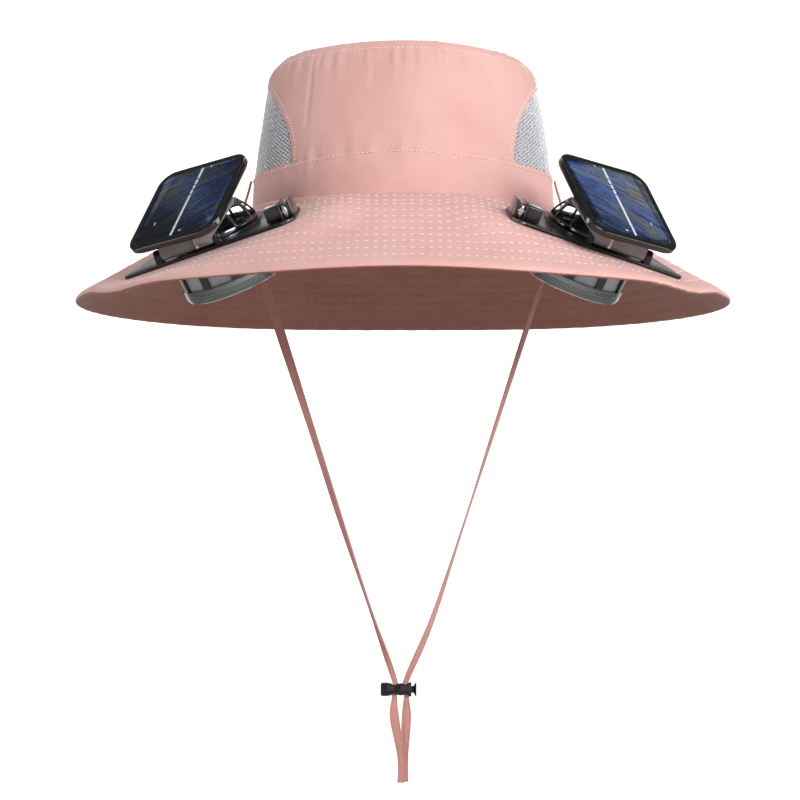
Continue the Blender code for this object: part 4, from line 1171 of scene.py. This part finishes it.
# The dome guard: one polished moulding, with six ribs that leave a hub and fork into Ys on
# their way down to the rim.
DOME_RADIUS, DOME_HEIGHT = 0.0280, 0.0215
DOME_HUB, DOME_FORK, DOME_RIBS = 0.0055, 0.0150, 6
RIB_HALF_WIDTH, GRILLE_THICK = 0.0007, 0.0014
DOME_WEB = 0.0215


def dome_height(radius):
    ball = (DOME_RADIUS**2 + DOME_HEIGHT**2) / (2 * DOME_HEIGHT)
    return math.sqrt(max(ball**2 - radius**2, 0)) - ball + DOME_HEIGHT


for side in SIDES:
    dome = bmesh.new()

    def spot(radius, turn):
        return dome.verts.new((radius * math.cos(turn), radius * math.sin(turn), 0))

    step = math.tau / DOME_RIBS
    hubs = [spot(DOME_HUB, step * k) for k in range(DOME_RIBS)]
    forks = [spot(DOME_FORK, step * k) for k in range(DOME_RIBS)]
    web_before = [spot(DOME_WEB, step * (k - 0.16)) for k in range(DOME_RIBS)]
    web_after = [spot(DOME_WEB, step * (k + 0.16)) for k in range(DOME_RIBS)]
    rim_before = [spot(DOME_RADIUS, step * (k - 0.25)) for k in range(DOME_RIBS)]
    rim_after = [spot(DOME_RADIUS, step * (k + 0.25)) for k in range(DOME_RIBS)]
    hub_face = dome.faces.new(hubs)
    for k in range(DOME_RIBS):
        n = (k + 1) % DOME_RIBS
        dome.faces.new((hubs[k], forks[k], web_after[k], web_before[n], forks[n], hubs[n]))
        dome.faces.new((web_after[k], rim_after[k], rim_before[n], web_before[n]))
        dome.faces.new((forks[k], web_before[k], web_after[k]))
        dome.faces.new((web_before[k], rim_before[k], rim_after[k], web_after[k]))
    bmesh.ops.subdivide_edges(dome, edges=dome.edges[:], cuts=7)
    cells = [f for f in dome.faces if f is not hub_face]
    for v in dome.verts:
        if v.is_boundary:
            v.co *= DOME_RADIUS / v.co.length
    bmesh.ops.inset_individual(dome, faces=cells, thickness=RIB_HALF_WIDTH, use_even_offset=True)
    bmesh.ops.delete(dome, geom=cells, context="FACES_ONLY")
    for v in dome.verts:
        v.co.z = dome_height(v.co.xy.length)
    base = GAP + PLATE_THICK + GAP + GRILLE_THICK
    bmesh.ops.translate(dome, vec=(FAN_X, FAN_Y, base), verts=dome.verts)
    face_out(dome)
    if hub_face.normal.z < 0:
        bmesh.ops.reverse_faces(dome, faces=dome.faces)
    lower = bmesh.ops.extrude_face_region(dome, geom=dome.faces[:])["geom"]
    for v in points_in(lower):
        away = v.co - Vector((FAN_X, FAN_Y, base))
        flat = Vector((away.x, away.y, 0))
        v.co.z -= GRILLE_THICK
        if flat.length > 0:
            v.co -= flat.normalized() * GRILLE_THICK * 0.5 * (1 - away.z / DOME_HEIGHT)
    round_over(dome, 0.00032, segments=2, above=55)
    guard = add_piece(f"dome_guard_{side}", put_on(dome, side), black_chrome, smooth=50)
    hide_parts(f"dome_grille_{side}")

# The basket below the brim: a slotted polished wall that tapers to a heavy turned-looking foot
# ring, with spokes at its floor that carry the motor.
BASKET_FOOT_RADIUS, BASKET_DEPTH = 0.0285, 0.0315
BASKET_BARS, BAR_SHARE = 10, 0.26
BASKET_WALL, FOOT_RING = 0.0018, 0.0085
MOTOR_RADIUS = 0.0110
BASKET_STEPS, GAUZE_STEPS = 160, 120

# The foot ring: dark plating brushed round the axis; long fine scratches stretch highlights.
brushed_ring, tree, end = start_material("dark chrome brushed round")
place = add_node(tree, "ShaderNodeUVMap", uv_map="turned").outputs["UV"]
along = add_node(tree, "ShaderNodeMapping", {"Vector": place, "Scale": (18, 4200, 1)}).outputs[0]
brush = add_node(
    tree, "ShaderNodeTexNoise", {"Vector": along, "Scale": 1.0, "Detail": 4.0}
).outputs["Fac"]
shade(tree, end, {
    "Base Color": colour_ramp(
        tree, brush, (0.36, "303232"), (0.50, "6f7271"), (0.62, "c6c8c6")
    ),
    "Metallic": 0.9,
    "Roughness": 0.24,
    "Normal": bump(tree, brush, 0.3, 0.0001),
})

# The gauze behind the slots: pale grey woven nylon that keeps hair out of the fan.
gauze, tree, end = start_material("woven nylon gauze")
place = add_node(tree, "ShaderNodeUVMap", uv_map="turned").outputs["UV"]
cells = calculate(tree, "MAXIMUM", *yarns(tree, place, 390.0))
shade(tree, end, {
    "Base Color": colour_ramp(tree, cells, (0.35, "8a8d91"), (0.9, "d2d5d8")),
    "Roughness": 0.45,
    "IOR": 1.53,
})
GAUZE_RADIUS = BASKET_RADIUS - BASKET_WALL - 0.0006


def turned_map(bm):
    """Writes a map round the fan's axis, in metres, before the piece is put on the hat."""
    layer = bm.loops.layers.uv.new("turned")
    for face in bm.faces:
        turns = [math.atan2(loop.vert.co.y, loop.vert.co.x) for loop in face.loops]
        if max(turns) - min(turns) > math.pi:
            turns = [t + math.tau if t < 0 else t for t in turns]
        for loop, turn in zip(face.loops, turns):
            loop[layer].uv = (turn * BASKET_RADIUS, loop.vert.co.z)


for side in SIDES:
    foot_top = BASKET_DEPTH - FOOT_RING
    at_foot = BASKET_RADIUS - 0.4 * (BASKET_RADIUS - BASKET_FOOT_RADIUS)
    rows = (
        (BASKET_RADIUS, 0.0),
        (BASKET_RADIUS, BRIM_THICK + 0.0025),
        (at_foot, foot_top),
        (at_foot - 0.0004, BASKET_DEPTH - 0.0028),
        (BASKET_FOOT_RADIUS + 0.0006, BASKET_DEPTH - 0.0006),
        (BASKET_FOOT_RADIUS - 0.0010, BASKET_DEPTH),
        (BASKET_FOOT_RADIUS - 0.0045, BASKET_DEPTH + 0.0003),
        (MOTOR_RADIUS, BASKET_DEPTH - 0.0002),
    )
    basket = lathe([(r, -d) for r, d in rows], BASKET_STEPS, closed=False, start=(1, 0))
    gone = []
    for face in basket.faces:
        middle = face.calc_center_median()
        turn = math.atan2(middle.y, middle.x) % math.tau / (math.tau / BASKET_BARS)
        off_bar = abs(turn - round(turn)) > BAR_SHARE / 2
        radius = middle.xy.length
        wall_row = BRIM_THICK + 0.0025 < -middle.z < foot_top
        spoke_row = MOTOR_RADIUS < radius < BASKET_FOOT_RADIUS - 0.0046
        if (wall_row and off_bar) or (spoke_row and (off_bar or round(turn) % 2)):
            gone.append(face)
    bmesh.ops.delete(basket, geom=gone, context="FACES")
    floor = [e for e in basket.edges if e.is_boundary and all(
        abs(v.co.xy.length - MOTOR_RADIUS) < 1e-5 for v in e.verts)]
    bmesh.ops.contextual_create(basket, geom=floor)
    face_out(basket)
    outwards = max(basket.faces, key=lambda f: f.calc_center_median().xy.length)
    if outwards.normal.dot(outwards.calc_center_median() * Vector((1, 1, 0))) < 0:
        bmesh.ops.reverse_faces(basket, faces=basket.faces)
    bmesh.ops.solidify(basket, geom=basket.faces[:], thickness=BASKET_WALL)
    face_out(basket)
    turned_map(basket)
    bmesh.ops.translate(basket, vec=(FAN_X, FAN_Y, 0), verts=basket.verts)
    holder = add_piece(f"basket_{side}", put_on(basket, side), [gloss_abs, brushed_ring], smooth=35)
    paint(holder, side, lambda face, place, facing: foot_top + 0.0004 < -place.z)
    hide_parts(f"fan_basket_{side}")

    rows = ((GAUZE_RADIUS, -BRIM_THICK - 0.0010), (GAUZE_RADIUS - 0.0008, -foot_top - 0.0010))
    lining = lathe(rows, GAUZE_STEPS, closed=False, start=(1, 0))
    bmesh.ops.solidify(lining, geom=lining.faces[:], thickness=0.0003)
    face_out(lining)
    turned_map(lining)
    bmesh.ops.translate(lining, vec=(FAN_X, FAN_Y, 0), verts=lining.verts)
    screen = add_piece(f"gauze_{side}", put_on(lining, side), gauze, smooth=40)

# The solar panel: a polished ABS frame round a resin-coated silicon cell, on a satin neck and
# knuckle that turn on a steel pin.
PANEL_SIDE, PANEL_CORNER, PANEL_DEPTH = 0.0676, 0.0120, 0.0048
PANEL_BORDER, CELL_THICK = 0.0036, 0.0008
PANEL_PLACE = (-0.0045, -0.0253, 0.0303)
PANEL_PITCH, PANEL_ROLL, PANEL_TURN = (math.radians(a) for a in (21.7, -9.6, -21.4))
PANEL = Matrix.Translation(PANEL_PLACE) @ (
    Euler((PANEL_PITCH, 0, 0)).to_matrix()
    @ Euler((0, PANEL_ROLL, 0)).to_matrix()
    @ Euler((0, 0, PANEL_TURN)).to_matrix()
).to_4x4()
BUS_WIDTH = 0.0016
FINGER_SPACING = 0.0016

silicon, tree, end = start_material("resin-coated silicon cell")
flat = add_node(tree, "ShaderNodeUVMap", uv_map="cell").outputs["UV"]
streak_place = add_node(
    tree, "ShaderNodeMapping",
    {"Vector": flat, "Rotation": (0, 0, 0.38), "Scale": (0.045, 0.0016, 1)}, vector_type="TEXTURE",
).outputs["Vector"]
streaks = add_node(
    tree, "ShaderNodeTexNoise", {"Vector": streak_place, "Scale": 1.0, "Detail": 3.0}
).outputs["Fac"]
cloud = add_node(tree, "ShaderNodeTexNoise", {"Vector": flat, "Scale": 45.0}).outputs["Fac"]
# The silicon shades from olive at one corner to navy at the other.
olive_side = add_node(
    tree, "ShaderNodeVectorMath", {0: flat, 1: (-1.5, 0.7, 0.0)}, operation="DOT_PRODUCT"
).outputs["Value"]
cloudy = calculate(tree, "MULTIPLY_ADD", cloud, 0.3, olive_side)
tone = calculate(tree, "MULTIPLY_ADD", streaks, 0.7, cloudy)
blue = colour_ramp(
    tree, tone, (0.34, "161c33"), (0.45, "34508f"), (0.51, "7388b8"), (0.56, "4d5248"),
    (0.64, "a3a27a")
)
across = add_node(tree, "ShaderNodeSeparateXYZ", {"Vector": flat}).outputs["Y"]
finger = calculate(tree, "PINGPONG", across, FINGER_SPACING)
finger = map_range(tree, finger, (0.00010, 0.00030), (0.35, 0.0))
face_colour = add_node(
    tree, "ShaderNodeMix", {0: finger, 6: blue, 7: from_hex("6b7385")}, data_type="RGBA"
).outputs[2]
shade(tree, end, {
    "Base Color": face_colour,
    "Roughness": 0.34,
    "IOR": 1.5,
    "Specular IOR Level": 0.22,
    "Coat Weight": 0.06,
    "Coat Roughness": 0.10,
})

# Printed silver for the bus bars; the same pale silver also paints a highlight strip on the
# knuckle.
silver, tree, end = start_material("printed silver bus bar and painted highlight")
shade(tree, end, {
    "Base Color": colour_ramp(tree, blotches(tree, 700.0), (0.3, "d9dad6"), (0.7, "ffffff")),
    "Metallic": 0.2,
    "Roughness": 0.35,
})


def rounded_square(bm, half, corner, height, segments=12):
    """A flat square face with round corners."""
    bmesh.ops.create_grid(bm, x_segments=1, y_segments=1, size=half)
    bmesh.ops.bevel(
        bm, geom=bm.verts[:], offset=corner, segments=segments, affect="VERTICES", profile=0.5,
        material=-1, offset_type="OFFSET",
    )
    bmesh.ops.translate(bm, vec=(0, 0, height), verts=bm.verts)
    return bm.faces[:]


for side in SIDES:
    half = PANEL_SIDE / 2
    tray = bmesh.new()
    faces = rounded_square(tray, half - 0.0014, PANEL_CORNER - 0.0014, -PANEL_DEPTH)
    for grow, lift in ((0.0014, 0.0016), (0.0, PANEL_DEPTH - 0.0016)):
        faces = raise_faces(tray, faces, (0, 0, lift))
        if grow:
            for v in faces[0].verts:
                v.co.xy *= half / (half - grow)
    bmesh.ops.inset_region(tray, faces=faces, thickness=PANEL_BORDER, use_even_offset=True)
    raise_faces(tray, faces, (0, 0, -CELL_THICK - GAP))
    bmesh.ops.remove_doubles(tray, verts=tray.verts, dist=1e-7)
    round_over(tray, 0.0006, above=40)
    bmesh.ops.transform(tray, matrix=PANEL, verts=tray.verts)
    panel = add_piece(f"panel_frame_{side}", put_on(tray, side), gloss_abs, f"panel_{side}", 30)
    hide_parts(f"panel_tray_{side}")

    inset = PANEL_BORDER + GAP
    cell = bmesh.new()
    faces = rounded_square(cell, half - inset, PANEL_CORNER - inset, -CELL_THICK)
    raise_faces(cell, faces, (0, 0, CELL_THICK))
    face_out(cell)
    layer = cell.loops.layers.uv.new("cell")
    for face in cell.faces:
        for loop in face.loops:
            loop[layer].uv = loop.vert.co.xy
    bmesh.ops.transform(cell, matrix=PANEL, verts=cell.verts)
    plate = add_piece(f"silicon_cell_{side}", put_on(cell, side), silicon, f"panel_{side}", 30)
    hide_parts(f"solar_cell_{side}")

    bars = bmesh.new()
    reach = half - inset - 0.0004
    breaks = (-reach, 0.2 * reach, 0.36 * reach, 0.5 * reach, 0.66 * reach, reach)
    dashes = [
        (0.0, (low + high) / 2, BUS_WIDTH, high - low - 0.0013)
        for low, high in zip(breaks, breaks[1:])
    ]
    dashes += [(-0.0190, -0.0134, 0.0008, 0.0022), (0.0058, -0.0262, 0.0018, 0.0008),
               (0.0066, 0.0285, 0.0008, 0.0012)]
    for x, y, wide, tall in dashes:
        add_box(bars, (x, y, 0.0001), (wide, tall, 0.0003))
    round_over(bars, 0.0001, segments=1)
    bmesh.ops.transform(bars, matrix=PANEL, verts=bars.verts)
    bus = add_piece(f"bus_bar_{side}", put_on(bars, side), silver, f"panel_{side}", 30)


def moulded_copy(node, name, look, body, bevel):
    """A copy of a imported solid, merged, with the round edges that a moulding has."""
    bm = bmesh.new()
    bm.from_mesh(bpy.data.objects[node].data)
    bmesh.ops.remove_doubles(bm, verts=bm.verts, dist=1e-6)
    bmesh.ops.dissolve_limit(bm, angle_limit=math.radians(1), verts=bm.verts, edges=bm.edges)
    round_over(bm, bevel, segments=2, above=35)
    made = add_piece(name, bm, look, body, 35)
    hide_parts(node)
    return made


# The neck and knuckle, the latch at the plate's inner end and the small metal parts. Pins and
# motor cans are bright drawn steel with fine drawing marks.
steel, tree, end = start_material("bright drawn steel")
drawn = blotches(tree, 900.0, 3.0)
shade(tree, end, {
    "Base Color": colour_ramp(tree, drawn, (0.3, "b9bbbd"), (0.7, "e6e7e8")),
    "Metallic": 1.0,
    "Roughness": map_range(tree, drawn, (0.0, 1.0), (0.18, 0.36)),
})

KNUCKLE_FACE_TOP = 0.0130
LATCH_FOOT = GAP + PLATE_THICK + GAP
LATCH_BLOCKS = (
    # along from and to, across from and to, height
    (0.0375, 0.0462, -0.0318, -0.0190, 0.0108),
    (0.0464, 0.0480, -0.0328, -0.0180, 0.0122),
    (0.0482, 0.0522, -0.0312, -0.0190, 0.0100),
    (0.0524, 0.0545, -0.0328, -0.0180, 0.0122),
)
NECK_FLARE = (
    # along and height off the brim, or None for the panel's underside
    (-0.0052, 0.0060),
    (0.0036, 0.0064),
    (0.0250, 0.0225),
    (0.0262, None),
    (-0.0052, None),
)
FLARE_ACROSS = (-0.0404, -0.0369)
PIN_HEAD = (0.0502, -0.0322, 0.0062)
for side in SIDES:
    bracket = moulded_copy(f"panel_bracket_{side}", f"knuckle_and_neck_{side}",
                           [grey_abs, satin_abs], f"panel_{side}", 0.0005)
    bm = bmesh.new()
    bm.from_mesh(bracket.data)
    bmesh.ops.bisect_plane(
        bm, geom=bm.verts[:] + bm.edges[:] + bm.faces[:],
        plane_co=SIDES[side] @ Vector((0, 0, KNUCKLE_FACE_TOP)), plane_no=SIDES[side].col[2].xyz,
    )
    back = SIDES[side].inverted()
    for face in bm.faces:
        face.material_index = 1 if (back @ face.calc_center_median()).z > KNUCKLE_FACE_TOP else 0
    bm.to_mesh(bracket.data)
    bm.free()

    web = bmesh.new()
    under = PANEL @ Vector((0, 0, -PANEL_DEPTH - GAP))
    tilt = PANEL.col[2]
    for x, height in NECK_FLARE:
        for y in FLARE_ACROSS:
            z = height or under.z - ((x - under.x) * tilt.x + (y - under.y) * tilt.y) / tilt.z
            web.verts.new((x, y, z))
    bmesh.ops.convex_hull(web, input=web.verts[:])
    bmesh.ops.dissolve_limit(web, angle_limit=0.02, verts=web.verts[:], edges=web.edges[:])
    round_over(web, 0.0006, segments=3, above=25)
    root = bmesh.new()
    add_box(root, (-0.0009, -0.0358, 0.0085), (0.0078, 0.0040, 0.0060))
    web = join(web, root)
    flare = add_piece(f"neck_flare_{side}", put_on(web, side), grey_abs, f"panel_{side}", 40)

    # A pale silver strip on the knuckle face's edge: a painted highlight on the chamfer there.
    strip = bmesh.new()
    add_box(strip, (-0.0060, FLARE_ACROSS[1] + 0.0002, 0.0080), (0.0017, 0.0012, 0.0084))
    round_over(strip, 0.0002, segments=2)
    highlight_strip = add_piece(f"knuckle_highlight_strip_{side}", put_on(strip, side), silver, f"panel_{side}", 40)

    blocks = bmesh.new()
    for start, stop, near, far, top in LATCH_BLOCKS:
        add_box(
            blocks, ((start + stop) / 2, (near + far) / 2, (LATCH_FOOT + top) / 2),
            (stop - start, far - near, top - LATCH_FOOT),
        )
    round_over(blocks, 0.0005, segments=3)
    latch = add_piece(f"latch_{side}", put_on(blocks, side), [gloss_abs, black_chrome], smooth=40)
    # The small bevel faces at the latch's outer end take the mirror chrome, so their edges show as
    # bright lines: painted highlights.
    paint(latch, side, lambda face, place, facing: place.x > 0.0460 and face.area < 0.000004)
    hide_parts(f"latch_block_{side}")

    button = bmesh.new()
    bmesh.ops.create_uvsphere(
        button, u_segments=24, v_segments=14, radius=1,
        matrix=Matrix.Translation(PIN_HEAD) @ Matrix.Diagonal((0.0016, 0.0010, 0.0036, 1)),
    )
    rod = bmesh.new()
    bmesh.ops.create_cone(
        rod, cap_ends=True, segments=24, radius1=0.0013, radius2=0.0013, depth=0.0050,
        matrix=Matrix.Translation((0.0502, -0.0300, 0.0062)) @ Matrix.Rotation(math.pi / 2, 4, "Y"),
    )
    pin = join(button, rod)
    rivet = add_piece(f"latch_pin_{side}", put_on(pin, side), steel, smooth=60)
    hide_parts(f"spring_pin_{side}")

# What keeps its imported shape: hinge pins and motor cans of bright drawn steel, and the flange
# under the brim, the fan's rotor and the cord lock, all of moulded ABS.
KEPT = {"cord_lock_barrel": satin_abs, "cord_lock_button": satin_abs}
for side in SIDES:
    KEPT[f"motor_can_{side}"] = steel
    KEPT[f"panel_hinge_pin_{side}"] = steel
    KEPT[f"lower_flange_{side}"] = satin_abs
    KEPT[f"fan_rotor_{side}"] = satin_abs
for node, look in KEPT.items():
    for place in bpy.data.objects[node].material_slots:
        place.material = look
